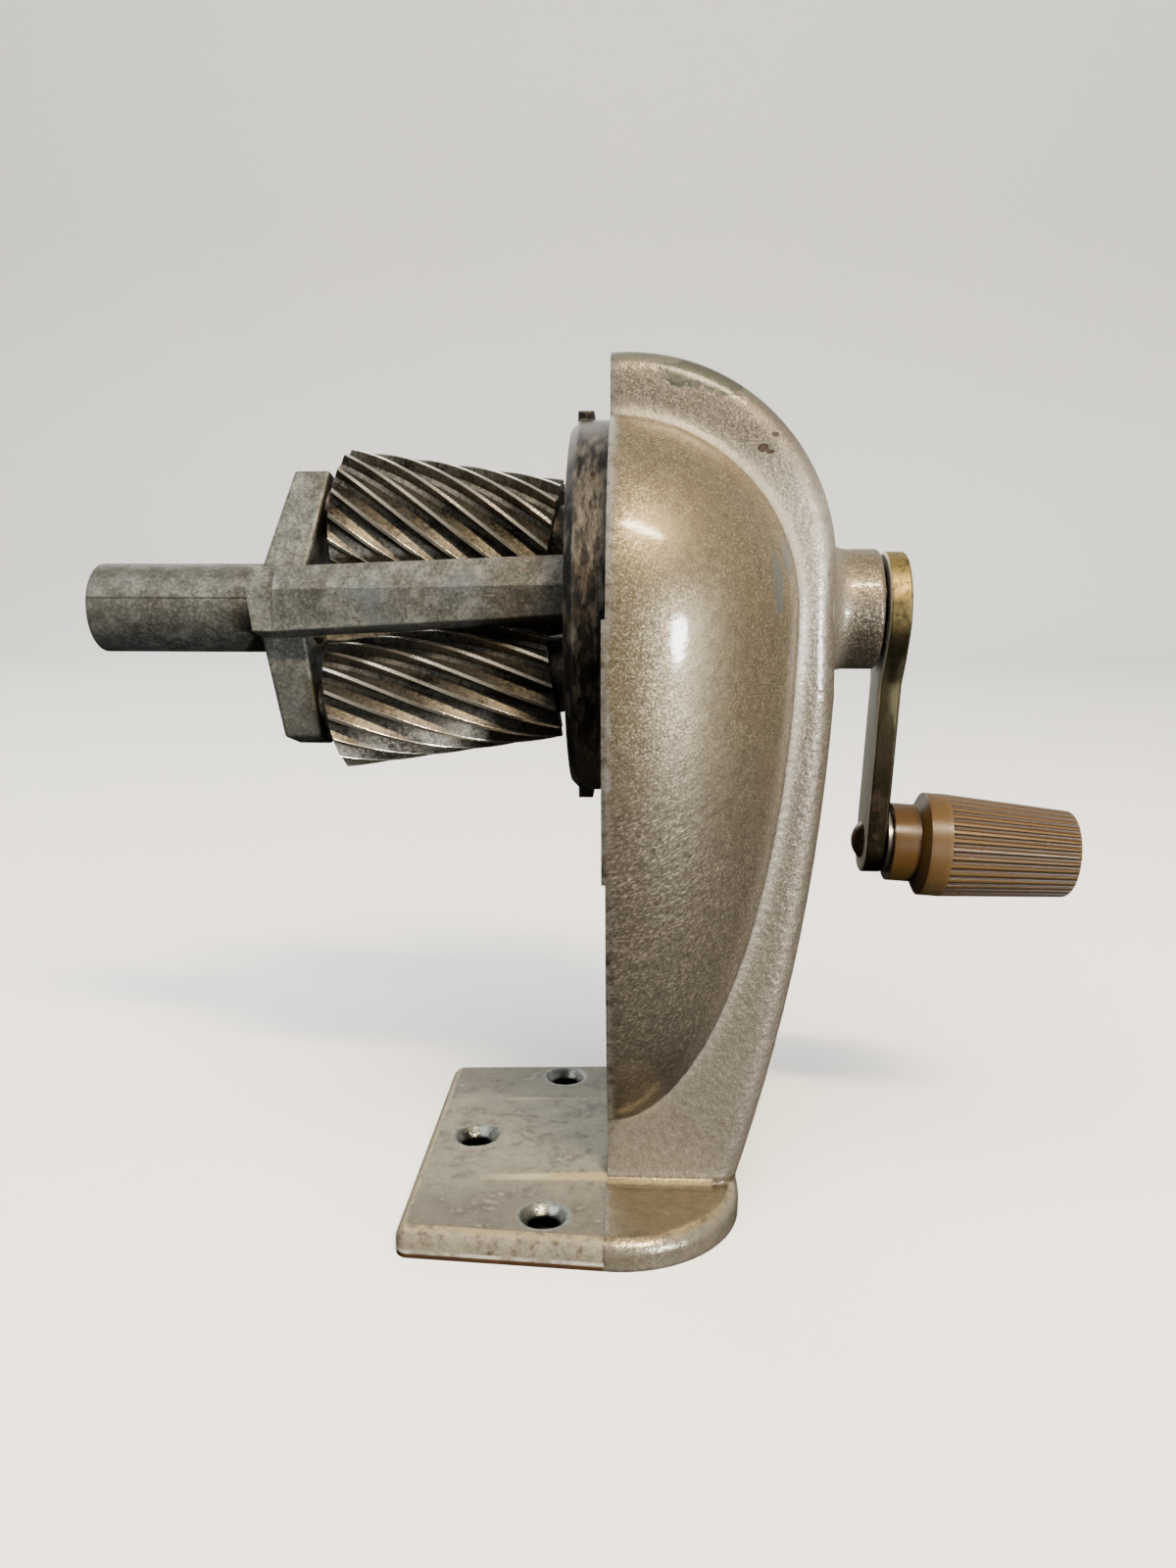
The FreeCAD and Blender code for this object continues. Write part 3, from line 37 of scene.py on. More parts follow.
MM = 0.001
JOINTS = {joint["name"]: joint for joint in frame["joints"]}
CRANK_HEIGHT = JOINTS["crank_spin"]["pos_m"][2]
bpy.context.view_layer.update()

# Sizes of the stand that its finish follows. X is 0 at the shell's mouth, and the foot stands on Z 0.
SPINE_HALF = 13 * MM
SPINE_BACK = 31 * MM
FOOT_TOP = 4.4 * MM
RAMP_TOP = 5.9 * MM

# X and Y of the foot's three screw holes, in millimetres.
SCREW_HOLES = ((-8.7, -22.65), (-8.7, 22.65), (-21.4, 0.0))

# Marks on the lacquer: place and radius in millimetres, and how much narrower they are along X, Y and Z.
CHIPS = (
    ((20.0, -13.0, 109.7), 0.75, (1.0, 1.0, 1.3)),
    ((20.9, -13.0, 109.2), 0.45, (0.7, 1.0, 1.6)),
    ((21.6, -12.6, 111.4), 0.6, (0.9, 1.0, 1.5)),
    ((8.0, -20.0, 54.5), 0.35, (1.0, 1.0, 1.0)),
)
RUBS = (
    ((22.0, -18.5, 92.6), 1.0, (1.0, 0.6, 0.2)),
    ((23.4, -15.2, 95.6), 0.9, (1.0, 0.5, 0.22)),
)
CROWN_PATCH = (
    ((10.5, -11.5, 118.9), 2.0, (0.4, 0.6, 1.0)),
    ((14.5, -11.5, 117.4), 1.5, (0.5, 0.6, 0.9)),
)

# The camera's sensor in millimetres along the picture's long side, and the focal length as a share of it.
SENSOR = 36
FOCAL_SHARE = 1202 / 1600

# Settings that properties of one kind share.
COLOUR = {"subtype": "COLOR", "size": 3, "min": 0, "max": 1}
LENGTH = {"unit": "LENGTH", "precision": 5}
POWER = {"unit": "POWER", "min": 0}


def linear(hex_colour):
    """An sRGB hex value as linear red, green and blue."""
    shares = [int(hex_colour[start:start + 2], 16) / 255 for start in (0, 2, 4)]
    return tuple(
        share / 12.92 if share <= 0.04045 else ((share + 0.055) / 1.055) ** 2.4 for share in shares
    )


def add(tree, kind, sockets=None, out=None, stops=None, **settings):
    """Adds a node with its settings and links, and returns one of its outputs."""
    made = tree.nodes.new(f"ShaderNode{kind}")
    for name, value in settings.items():
        setattr(made, name, value)
    for index, (position, colour) in enumerate(stops or ()):
        elements = made.color_ramp.elements
        stop = elements[index] if index < 2 else elements.new(position)
        stop.position = position
        stop.color = (*colour, 1.0)
    usable = [socket for socket in made.inputs if socket.enabled]
    for name, value in (sockets or {}).items():
        socket = usable[name] if isinstance(name, int) else next(s for s in usable if s.name == name)
        if isinstance(value, bpy.types.NodeSocket):
            tree.links.new(value, socket)
        elif socket.type == "RGBA":
            socket.default_value = (*value, 1.0)
        else:
            socket.default_value = value
    return next((s for s in made.outputs if s.enabled and out in (None, s.name)), None)


def start_material(name):
    """A new material with an empty node tree."""
    material = bpy.data.materials.new(name)
    material.use_nodes = True
    material.node_tree.nodes.clear()
    return material, material.node_tree


def dress(material, *nodes):
    """Gives CAD nodes their finish."""
    for name in nodes:
        frame["nodes"][name].material_slots[0].material = material


def soften_edges(tree, radius, samples, full_turn, most=1.0):
    """The normal rounded over the edges, and a mask of how far it turns there from the flat one.

    The mask begins at a turn of 10 degrees; full_turn is the cosine of the turn where it is full."""
    soft = add(tree, "Bevel", {"Radius": radius}, samples=samples)
    flat = add(tree, "NewGeometry", out="Normal")
    turned = add(tree, "VectorMath", {0: soft, 1: flat}, operation="DOT_PRODUCT")
    bent = add(tree, "MapRange", {
        "Value": turned, "From Min": 0.985, "From Max": full_turn, "To Max": most,
    })
    return soft, bent


class LacquerLook(bpy.types.PropertyGroup):
    upper: bpy.props.FloatVectorProperty(
        name="Upper shell", description="Lacquer on the upper shell, gone yellow",
        default=linear("7B6F55"), **COLOUR,
    )
    lower: bpy.props.FloatVectorProperty(
        name="Lower shell", description="Lacquer on the lower shell, browned by hands",
        default=linear("736A5C"), **COLOUR,
    )
    spine: bpy.props.FloatVectorProperty(
        name="Spine", description="Lacquer on the spine",
        default=linear("7D7467"), **COLOUR,
    )
    foot_front: bpy.props.FloatVectorProperty(
        name="Front of the foot", description="Thin, rubbed lacquer on the front of the foot",
        default=linear("8B8773"), **COLOUR,
    )
    foot_back: bpy.props.FloatVectorProperty(
        name="Back of the foot", description="Thick, yellowed lacquer on the back of the foot",
        default=linear("786E57"), **COLOUR,
    )
    zinc: bpy.props.FloatVectorProperty(
        name="Bare zinc", description="Zinc where the lacquer has worn off",
        default=linear("B9B5AA"), **COLOUR,
    )
    glint: bpy.props.FloatVectorProperty(
        name="Lit flake", description="Metal flakes that catch the light",
        default=linear("D9CBA9"), **COLOUR,
    )
    flake: bpy.props.FloatProperty(
        name="Flakes", description="Size of the clusters that the metal flakes form in the lacquer",
        min=0.1 * MM, default=0.27 * MM, **LENGTH,
    )
    peel: bpy.props.FloatProperty(
        name="Orange peel", description="Width of the waves in the sprayed lacquer",
        min=0.2 * MM, default=1.1 * MM, **LENGTH,
    )
    edge: bpy.props.FloatProperty(
        name="Soft edge", description="Radius to which spraying softens the casting's edges",
        min=0.1 * MM, default=0.9 * MM, **LENGTH,
    )
    crease: bpy.props.FloatProperty(
        name="Crease", description="Radius of the hollow between shell and spine",
        min=0.1 * MM, default=2.8 * MM, **LENGTH,
    )
    foot_roll: bpy.props.FloatProperty(
        name="Rolled edge", description="Radius of the rolled edge of the foot",
        min=0.1 * MM, default=0.9 * MM, **LENGTH,
    )


class MetalLook(bpy.types.PropertyGroup):
    cast_zinc: bpy.props.FloatVectorProperty(
        name="Cast zinc", description="Carrier, bare zinc gone grey",
        default=linear("686B66"), **COLOUR,
    )
    zinc_stain: bpy.props.FloatVectorProperty(
        name="Graphite stain", description="Pencil dust rubbed into the carrier",
        default=linear("4A4842"), **COLOUR,
    )
    ring_black: bpy.props.FloatVectorProperty(
        name="Ring gear", description="Blackened casting of the ring gear",
        default=linear("1E1D1C"), **COLOUR,
    )
    cutter_dark: bpy.props.FloatVectorProperty(
        name="Cutter gullets", description="Hardening scale in the cutters' gullets",
        default=linear("646057"), **COLOUR,
    )
    cutter_bright: bpy.props.FloatVectorProperty(
        name="Cutter lands", description="Ground steel on the cutters' edges",
        default=linear("DDD6C4"), **COLOUR,
    )
    plate_yellow: bpy.props.FloatVectorProperty(
        name="Crank plating", description="Yellow plating on the crank arm",
        default=linear("A08C56"), **COLOUR,
    )
    plate_green: bpy.props.FloatVectorProperty(
        name="Dull plating", description="Plating gone dull and green on the crank arm",
        default=linear("3B3728"), **COLOUR,
    )
    rust: bpy.props.FloatVectorProperty(
        name="Rust", description="Rust on the steel pieces",
        default=linear("2B1C0D"), **COLOUR,
    )
    steel: bpy.props.FloatVectorProperty(
        name="Steel", description="Bright turned steel of pins and washers",
        default=linear("B8B4AB"), **COLOUR,
    )
    land: bpy.props.FloatProperty(
        name="Bright land", description="How deep below the cutter's outside the ground edge reaches",
        min=0.02 * MM, default=0.15 * MM, **LENGTH,
    )


class KnobLook(bpy.types.PropertyGroup):
    grip: bpy.props.FloatVectorProperty(
        name="Grip", description="Tan plastic of the fluted grip",
        default=linear("604A2C"), **COLOUR,
    )
    collar: bpy.props.FloatVectorProperty(
        name="Collar", description="Less faded plastic of the collar",
        default=linear("4F391B"), **COLOUR,
    )
    dirt: bpy.props.FloatVectorProperty(
        name="Dirt", description="Dirt in the flutes",
        default=linear("2F1E13"), **COLOUR,
    )


class StageLook(bpy.types.PropertyGroup):
    floor: bpy.props.FloatVectorProperty(
        name="Floor", description="Pale board that the sharpener stands on",
        default=linear("DAD8D3"), **COLOUR,
    )
    focal: bpy.props.FloatProperty(
        name="Focal length", description="Focal length on a 36 mm sensor, along the picture's long side",
        unit="CAMERA", min=1, default=SENSOR * FOCAL_SHARE,
    )
    eye: bpy.props.FloatVectorProperty(
        name="Camera", description="Place of the camera",
        subtype="TRANSLATION", unit="LENGTH", size=3, default=(5.125 * MM, -173.77 * MM, 95.96 * MM),
    )
    yaw: bpy.props.FloatProperty(
        name="Yaw", description="Turn of the camera to the left",
        subtype="ANGLE", default=0.04996,
    )
    pitch: bpy.props.FloatProperty(
        name="Pitch", description="How far the camera looks down",
        subtype="ANGLE", default=0.19223,
    )
    key: bpy.props.FloatProperty(
        name="Ceiling light", description="Power of the warm light overhead",
        default=9.0, **POWER,
    )
    window: bpy.props.FloatProperty(
        name="Window", description="Power of the small bright light at the right",
        default=2.4, **POWER,
    )
    fill: bpy.props.FloatProperty(
        name="Fill", description="Power of the soft light at the left",
        default=3.5, **POWER,
    )
    back: bpy.props.FloatProperty(
        name="Back fill", description="Power of the soft light from behind",
        default=6.0, **POWER,
    )
    board: bpy.props.FloatProperty(
        name="Board light", description="Power of the lamp that lights the board alone",
        default=185.0, **POWER,
    )
    room: bpy.props.FloatProperty(
        name="Room", description="Strength of the light that the room gives back",
        min=0, default=0.7,
    )
    backdrop: bpy.props.FloatProperty(
        name="Backdrop", description="Strength of the plain ground that the camera sees past the board",
        min=0, default=1.45,
    )


def stand_regions(tree):
    """Coordinates and noises on the stand, and masks that are white on one region of it."""
    place = add(tree, "TexCoord", out="Object")
    x, y, z = (add(tree, "SeparateXYZ", {0: place}, out=letter) for letter in "XYZ")
    facing = add(tree, "SeparateXYZ", {0: add(tree, "TexCoord", out="Normal")}, out="Z")
    side = add(tree, "Math", {0: y}, operation="ABSOLUTE")
    cloud, grime, ragged = (
        add(tree, "TexNoise", {
            "Vector": place, "Scale": 1 / (size * MM), "Detail": detail, "Roughness": rough,
        }) for size, detail, rough in ((24, 4.0, 0.6), (5, 6.0, 0.65), (1.3, 5.0, 0.6))
    )
    drift = add(tree, "Math", {0: cloud, 1: 30 * MM, 2: z}, operation="MULTIPLY_ADD")
    # Each region's coordinate, where its mask begins, where it is full, and how white it then is.
    # The sheltered mask marks the bottom of the shell, which is painted darker there as shade.
    upper, sheltered, spine, boss, foot, edge = (
        add(tree, "MapRange", {
            "Value": value, "From Min": begins, "From Max": full, "To Max": most,
        }, interpolation_type="SMOOTHSTEP") for value, begins, full, most in (
            (drift, 62 * MM, 108 * MM, 1.0),
            (z, 38 * MM, 15 * MM, 0.9),
            (side, SPINE_HALF + 0.3 * MM, SPINE_HALF - 0.05 * MM, 1.0),
            (x, SPINE_BACK, SPINE_BACK + 3 * MM, 1.0),
            (z, RAMP_TOP, RAMP_TOP - 0.8 * MM, 1.0),
            (z, FOOT_TOP, FOOT_TOP - 0.8 * MM, 1.0),
        )
    )
    off_spine = add(tree, "Math", {0: 1.0, 1: spine}, operation="SUBTRACT")
    in_front = add(tree, "MapRange", {"Value": x, "From Min": 0.15 * MM, "From Max": -0.15 * MM})
    front_low = add(tree, "MapRange", {"Value": z, "From Min": 8 * MM, "From Max": 6.5 * MM})
    rubbed = add(tree, "Math", {0: in_front, 1: front_low}, operation="MULTIPLY")
    any_foot = add(tree, "Math", {0: foot, 1: rubbed}, operation="MAXIMUM")
    return SimpleNamespace(
        place=place, x=x, z=z, side=side, facing=facing, grime=grime, ragged=ragged, upper=upper,
        sheltered=sheltered, spine=spine, off_spine=off_spine, boss=boss, foot=foot, edge=edge,
        in_front=in_front, rubbed=rubbed, any_foot=any_foot,
    )


def stand_tones(tree, look, on):
    """The coat's tones: brown below to khaki above with painted shade at the bottom, others on the spine, the
    boss and the foot. The spine is painted lighter at its foot and shoulder, the boss golden on top as a
    highlight and darker below as shade, and the foot's side lighter as a highlight.

    The foot is rubbed in front of the shell's mouth, and thick and yellow behind it."""
    # The spine is painted lighter towards the foot as painted light, and at its shoulder as a painted
    # highlight.
    painted_light_low_spine, painted_shoulder_highlight = (
        add(tree, "MapRange", {"Value": on.z, "From Min": begins, "From Max": full, "To Max": most})
        for begins, full, most in ((64 * MM, 18 * MM, 0.8), (84 * MM, 97 * MM, 0.85))
    )
    below_crown = add(tree, "MapRange", {"Value": on.z, "From Min": 111 * MM, "From Max": 103 * MM})
    off_boss = add(tree, "MapRange", {"Value": on.x, "From Min": SPINE_BACK, "From Max": SPINE_BACK - 2 * MM})
    for limit in (below_crown, off_boss):
        painted_shoulder_highlight = add(tree, "Math", {0: painted_shoulder_highlight, 1: limit}, operation="MULTIPLY")
    spine = look.spine
    for share, tone in ((painted_light_low_spine, "A39A8A"), (painted_shoulder_highlight, "BCB6A7")):
        spine = add(tree, "Mix", {"Factor": share, "A": spine, "B": linear(tone)}, data_type="RGBA")

    # The boss's upward faces are painted golden as a highlight, its downward faces darker as painted shade.
    painted_boss_top_highlight = add(tree, "MapRange", {"Value": on.facing, "From Min": 0.1, "From Max": 0.7, "To Max": 0.95})
    shaded = add(tree, "MapRange", {"Value": on.facing, "From Min": 0.85, "From Max": -0.35, "To Max": 0.9})
    painted_boss_top_highlight, shaded = (
        add(tree, "Math", {0: on.boss, 1: share}, operation="MULTIPLY") for share in (painted_boss_top_highlight, shaded)
    )

    handled = add(tree, "MapRange", {"Value": on.side, "From Min": 12 * MM, "From Max": 20 * MM})
    front = add(tree, "Mix", {
        "Factor": handled, "A": look.foot_front, "B": linear("6D6858"),
    }, data_type="RGBA")
    foot = look.foot_back
    # The foot's side is painted lighter, a painted highlight on its rolled edge.
    for share, tone in ((on.in_front, front), (on.edge, linear("A09784"))):
        foot = add(tree, "Mix", {"Factor": share, "A": foot, "B": tone}, data_type="RGBA")

    # The sheltered bottom of the shell takes a dark brown as painted shade.
    paint = look.lower
    for share, tone in (
        (on.upper, look.upper), (on.sheltered, linear("322E28")), (on.spine, spine),
        (painted_boss_top_highlight, look.foot_back), (shaded, linear("4A4339")), (on.any_foot, foot),
    ):
        paint = add(tree, "Mix", {"Factor": share, "A": paint, "B": tone}, data_type="RGBA")
    return paint


def metal_flakes(tree, look, on, paint):
    """The paint with its lit and unlit flakes, and the colours that tilt them.

    Real flakes are a few hundredths of a millimetre; what shows is the clusters that they form. On the
    lower shell the spray drew them out into slanting streaks."""
    on.slant = add(tree, "Mapping", {
        "Vector": on.place, "Rotation": (0, math.radians(-28), 0), "Scale": (2.2, 1, 1),
    }, vector_type="TEXTURE")
    specks = {"Scale": 1 / look.flake, "Detail": 3.0, "Roughness": 0.6}
    round_specks, long_specks = (
        add(tree, "TexNoise", {"Vector": way, **specks}, out="Color") for way in (on.place, on.slant)
    )
    streaked = add(tree, "MapRange", {"Value": on.upper, "From Min": 0.6, "From Max": 0.1})
    streaked = add(tree, "Math", {0: streaked, 1: on.off_spine}, operation="MULTIPLY")
    cell = add(tree, "Mix", {"Factor": streaked, "A": round_specks, "B": long_specks}, data_type="RGBA")
    chance = add(tree, "SeparateColor", {0: cell}, out="Red")
    coated = add(tree, "MapRange", {"Value": on.any_foot, "To Min": 1.0, "To Max": 0.7})
    # The painted shade at the bottom of the shell holds no lit flakes.
    open_air = add(tree, "Math", {0: 1.0, 1: on.sheltered}, operation="SUBTRACT")
    lit = add(tree, "MapRange", {"Value": chance, "From Min": 0.52, "From Max": 0.74, "To Max": 0.6})
    for limit in (coated, open_air):
        lit = add(tree, "Math", {0: lit, 1: limit}, operation="MULTIPLY")
    unlit = add(tree, "MapRange", {"Value": chance, "From Min": 0.5, "From Max": 0.28, "To Max": 0.5})
    unlit = add(tree, "Math", {0: unlit, 1: coated}, operation="MULTIPLY")
    for share, tone in ((lit, look.glint), (unlit, linear("4A4238"))):
        paint = add(tree, "Mix", {"Factor": share, "A": paint, "B": tone}, data_type="RGBA")
    return paint, cell


def soil(tree, on, paint):
    """The paint mottled all over, with brown haze, smudges and scuffs on the foot, and the foot's seam."""
    paint = add(tree, "Mix", {
        "Factor": 0.5, "A": paint, "B": on.ragged,
    }, data_type="RGBA", blend_type="OVERLAY")
    haze = add(tree, "MapRange", {"Value": on.grime, "From Min": 0.5, "From Max": 0.78, "To Max": 0.3})
    smudge = add(tree, "Math", {0: on.ragged, 1: 0.6, 2: on.grime}, operation="MULTIPLY_ADD")
    smudge = add(tree, "MapRange", {"Value": smudge, "From Min": 0.77, "From Max": 0.95, "To Max": 0.75})
    smudge = add(tree, "Math", {0: smudge, 1: on.rubbed}, operation="MULTIPLY")
    scuff = add(tree, "Math", {0: on.ragged, 1: -0.6, 2: on.grime}, operation="MULTIPLY_ADD")
    scuff = add(tree, "MapRange", {"Value": scuff, "From Min": 0.3, "From Max": 0.42, "To Max": 0.5})
    scuff = add(tree, "Math", {0: scuff, 1: on.rubbed}, operation="MULTIPLY")
    seam = add(tree, "Math", {0: on.x}, operation="ABSOLUTE")
    seam = add(tree, "MapRange", {"Value": seam, "From Min": 0.32 * MM, "From Max": 0.12 * MM, "To Max": 0.6})
    seam = add(tree, "Math", {0: seam, 1: on.any_foot}, operation="MULTIPLY")
    for share, tone in ((haze, "5E5044"), (smudge, "4B483F"), (scuff, "B4AC98"), (seam, "4A443A")):
        paint = add(tree, "Mix", {"Factor": share, "A": paint, "B": linear(tone)}, data_type="RGBA")
    return paint


def wear_edges(tree, look, on, paint):
    """The paint with edges rubbed bright, darker in hollow corners, and a painted highlight and a painted
    shadow line along the crease.

    The spray fills the crease beside the shell and rolls over the edge of the foot, so the edges are
    softer there."""
    creased = add(tree, "MapRange", {
        "Value": on.side, "From Min": SPINE_HALF - 1.5 * MM, "From Max": SPINE_HALF,
        "To Min": look.edge, "To Max": look.crease,
    })
    radius = add(tree, "Mix", {"Factor": on.foot, "A": creased, "B": look.foot_roll})
    on.soft, on.worn = soften_edges(tree, radius, 8, 0.86)
    openness = add(tree, "AmbientOcclusion", {"Distance": 3 * MM}, out="AO", samples=8, only_local=True)
    outward = add(tree, "MapRange", {"Value": openness, "From Min": 0.72, "From Max": 0.9})
    on.patchy = add(tree, "MapRange", {"Value": on.ragged, "From Min": 0.36, "From Max": 0.56})
    on.scraped = add(tree, "MapRange", {"Value": on.grime, "From Min": 0.4, "From Max": 0.6})
    for limit in (outward, on.patchy):
        on.worn = add(tree, "Math", {0: on.worn, 1: limit}, operation="MULTIPLY")
    mouth_edge = add(tree, "MapRange", {"Value": on.x, "From Min": 0.9 * MM, "From Max": 0.35 * MM})
    above_foot = add(tree, "MapRange", {"Value": on.z, "From Min": 48 * MM, "From Max": 60 * MM})
    for limit in (above_foot, on.scraped, 0.7):
        mouth_edge = add(tree, "Math", {0: mouth_edge, 1: limit}, operation="MULTIPLY")
    on.worn = add(tree, "Math", {0: on.worn, 1: mouth_edge}, operation="MAXIMUM")

    # Along the crease the spine gets a painted highlight, and the lower shell beside it a painted shadow
    # line.
    near_crease = add(tree, "MapRange", {"Value": openness, "From Min": 0.955, "From Max": 0.83})
    on_stand, lower_half = (
        add(tree, "MapRange", {"Value": on.z, "From Min": begins, "From Max": full, "To Max": most})
        for begins, full, most in ((10 * MM, 16 * MM, 0.48), (92 * MM, 70 * MM, 0.6))
    )
    painted_ridge_highlight = near_crease
    for limit in (on_stand, on.spine):
        painted_ridge_highlight = add(tree, "Math", {0: painted_ridge_highlight, 1: limit}, operation="MULTIPLY")
    painted_crease_shadow = near_crease
    for limit in (lower_half, on.off_spine):
        painted_crease_shadow = add(tree, "Math", {0: painted_crease_shadow, 1: limit}, operation="MULTIPLY")
    # Hollow corners are painted darker, by how open the surface is.
    corner = add(tree, "MapRange", {"Value": openness, "From Min": 0.78, "From Max": 0.35, "To Max": 0.55})
    for share, tone in (
        (painted_ridge_highlight, linear("C6BDA8")), (painted_crease_shadow, linear("463D33")), (corner, linear("4C4137")),
        (on.worn, look.zinc),
    ):
        paint = add(tree, "Mix", {"Factor": share, "A": paint, "B": tone}, data_type="RGBA")
    return paint


def highlight_polished_slopes(tree, on, paint):
    """The paint with painted highlights at the spine's root, along the ramp's ridge and on the top of the
    foot's rolled edge, where these slopes are smoother, and stains on the foot's edge.
    """
    slope = add(tree, "MapRange", {"Value": on.facing, "From Min": 0.97, "From Max": 0.93})
    upright = add(tree, "MapRange", {"Value": on.facing, "From Min": 0.62, "From Max": 0.78})
    for limit in (upright, on.any_foot):
        slope = add(tree, "Math", {0: slope, 1: limit}, operation="MULTIPLY")
    behind = add(tree, "Math", {0: 1.0, 1: on.in_front}, operation="SUBTRACT")
    root = add(tree, "MapRange", {
        "Value": on.side, "From Min": SPINE_HALF + 1.2 * MM, "From Max": SPINE_HALF + 0.8 * MM,
    })
    root = add(tree, "Math", {0: root, 1: behind}, operation="MULTIPLY")
    # The top of the foot's rolled edge is a painted highlight.
    roll = add(tree, "MapRange", {
        "Value": on.z, "From Min": FOOT_TOP - 0.02 * MM, "From Max": FOOT_TOP - 0.1 * MM, "To Max": 0.85,
    })
    roll = add(tree, "Math", {0: roll, 1: on.patchy}, operation="MULTIPLY")
    on.polished = add(tree, "Math", {0: root, 1: roll}, operation="MAXIMUM")
    on.polished = add(tree, "Math", {0: on.polished, 1: slope}, operation="MULTIPLY")
    painted_ridge_highlight = add(tree, "Math", {0: on.side, 1: SPINE_HALF - 0.1 * MM}, operation="SUBTRACT")
    painted_ridge_highlight = add(tree, "Math", {0: painted_ridge_highlight}, operation="ABSOLUTE")
    painted_ridge_highlight = add(tree, "MapRange", {"Value": painted_ridge_highlight, "From Min": 0.9 * MM, "From Max": 0.35 * MM})
    off_toe = add(tree, "MapRange", {"Value": on.x, "From Min": -20 * MM, "From Max": -12 * MM})
    for limit in (off_toe, on.rubbed):
        painted_ridge_highlight = add(tree, "Math", {0: painted_ridge_highlight, 1: limit}, operation="MULTIPLY")
    on.polished = add(tree, "Math", {0: on.polished, 1: painted_ridge_highlight}, operation="MAXIMUM")
    stained = add(tree, "MapRange", {"Value": on.ragged, "From Min": 0.52, "From Max": 0.62, "To Max": 0.6})
    for limit in (on.scraped, on.edge, on.in_front):
        stained = add(tree, "Math", {0: stained, 1: limit}, operation="MULTIPLY")
    # The slopes take a pale gold as painted highlight, and the foot's edge dark stains.
    for share, tone in ((on.polished, "B3A47B"), (stained, "5F4A30")):
        paint = add(tree, "Mix", {"Factor": share, "A": paint, "B": linear(tone)}, data_type="RGBA")
    return paint


def mark_mask(tree, on, marks):
    """White inside any of the marks, whose outlines are ragged."""
    total = None
    for centre, radius, narrower in marks:
        moved = add(tree, "VectorMath", {0: on.place, 1: Vector(centre) * MM}, operation="SUBTRACT")
        shaped = add(tree, "VectorMath", {0: moved, 1: narrower}, operation="MULTIPLY")
        reach = add(tree, "VectorMath", {0: shaped}, operation="LENGTH")
        uneven = add(tree, "Math", {0: on.ragged, 1: 1.4 * radius * MM, 2: reach}, operation="MULTIPLY_ADD")
        inside = add(tree, "MapRange", {
            "Value": uneven, "From Min": 1.75 * radius * MM, "From Max": 1.5 * radius * MM,
        }, interpolation_type="SMOOTHSTEP")
        total = inside if total is None else add(tree, "Math", {0: total, 1: inside}, operation="MAXIMUM")
    return total


def bare_places(tree, on, paint):
    """The paint worn through on the crown and at the screws, with flash, rubs and chips.

    The crown of the spine shows dull zinc with a dark patch. Each countersink has a rubbed grey ring, and its
    hole is painted near-black as shade. Flash from the mould stands out along the bottom of the foot: a
    broken bright line, dark and rusty below it."""
    crown = add(tree, "MapRange", {"Value": on.z, "From Min": 100 * MM, "From Max": 114 * MM})
    crown_up = add(tree, "MapRange", {"Value": on.facing, "From Min": 0.25, "From Max": 0.62})
    for limit in (crown_up, on.spine):
        crown = add(tree, "Math", {0: crown, 1: limit}, operation="MULTIPLY")
    broken = add(tree, "Math", {0: on.ragged, 1: 0.9, 2: crown}, operation="MULTIPLY_ADD")
    on.crown = add(tree, "MapRange", {
        "Value": broken, "From Min": 0.95, "From Max": 1.15, "To Max": 0.85,
    }, interpolation_type="SMOOTHSTEP")
    on.patch = mark_mask(tree, on, CROWN_PATCH)

    hole_reach = None
    for hole_x, hole_y in SCREW_HOLES:
        off = add(tree, "VectorMath", {0: on.place, 1: (hole_x * MM, hole_y * MM, 0)}, operation="SUBTRACT")
        flat = add(tree, "VectorMath", {0: off, 1: (1, 1, 0)}, operation="MULTIPLY")
        reach = add(tree, "VectorMath", {0: flat}, operation="LENGTH")
        hole_reach = reach if hole_reach is None else add(
            tree, "Math", {0: hole_reach, 1: reach}, operation="MINIMUM"
        )
    wobble = add(tree, "Math", {0: on.ragged, 1: 1.2 * MM, 2: hole_reach}, operation="MULTIPLY_ADD")
    on.screw_ring = add(tree, "MapRange", {"Value": wobble, "From Min": 4.8 * MM, "From Max": 4.2 * MM})
    screwed = add(tree, "Mix", {
        "Factor": on.patchy, "A": linear("747672"), "B": linear("94978F"),
    }, data_type="RGBA")
    # The hole inside each countersink is painted near-black as shade.
    deep = add(tree, "MapRange", {"Value": hole_reach, "From Min": 2.6 * MM, "From Max": 2.1 * MM})

    low_front = add(tree, "MapRange", {"Value": on.z, "From Min": 1.35 * MM, "From Max": 1.15 * MM})
    low_front = add(tree, "Math", {0: low_front, 1: on.in_front}, operation="MULTIPLY")
    below = add(tree, "MapRange", {"Value": on.z, "From Min": 0.85 * MM, "From Max": 0.6 * MM})
    below = add(tree, "Math", {0: below, 1: low_front}, operation="MULTIPLY")
    flash = add(tree, "MapRange", {"Value": on.grime, "From Min": 0.42, "From Max": 0.52})
    flash = add(tree, "Math", {0: low_front, 1: flash}, operation="MULTIPLY")
    rust = add(tree, "Mix", {
        "Factor": on.grime, "A": linear("2E2A24"), "B": linear("6B4A2C"),
    }, data_type="RGBA")

    rub = add(tree, "Math", {0: mark_mask(tree, on, RUBS), 1: 0.75}, operation="MULTIPLY")
    on.chip = mark_mask(tree, on, CHIPS)
    for share, tone in (
        (on.crown, linear("6A6B5F")), (on.patch, linear("55564C")), (on.screw_ring, screwed),
        (deep, linear("1C1C1B")), (flash, linear("D6D1C2")), (below, rust), (rub, linear("70746F")),
        (on.chip, linear("3B291C")),
    ):
        paint = add(tree, "Mix", {"Factor": share, "A": paint, "B": tone}, data_type="RGBA")
    return paint


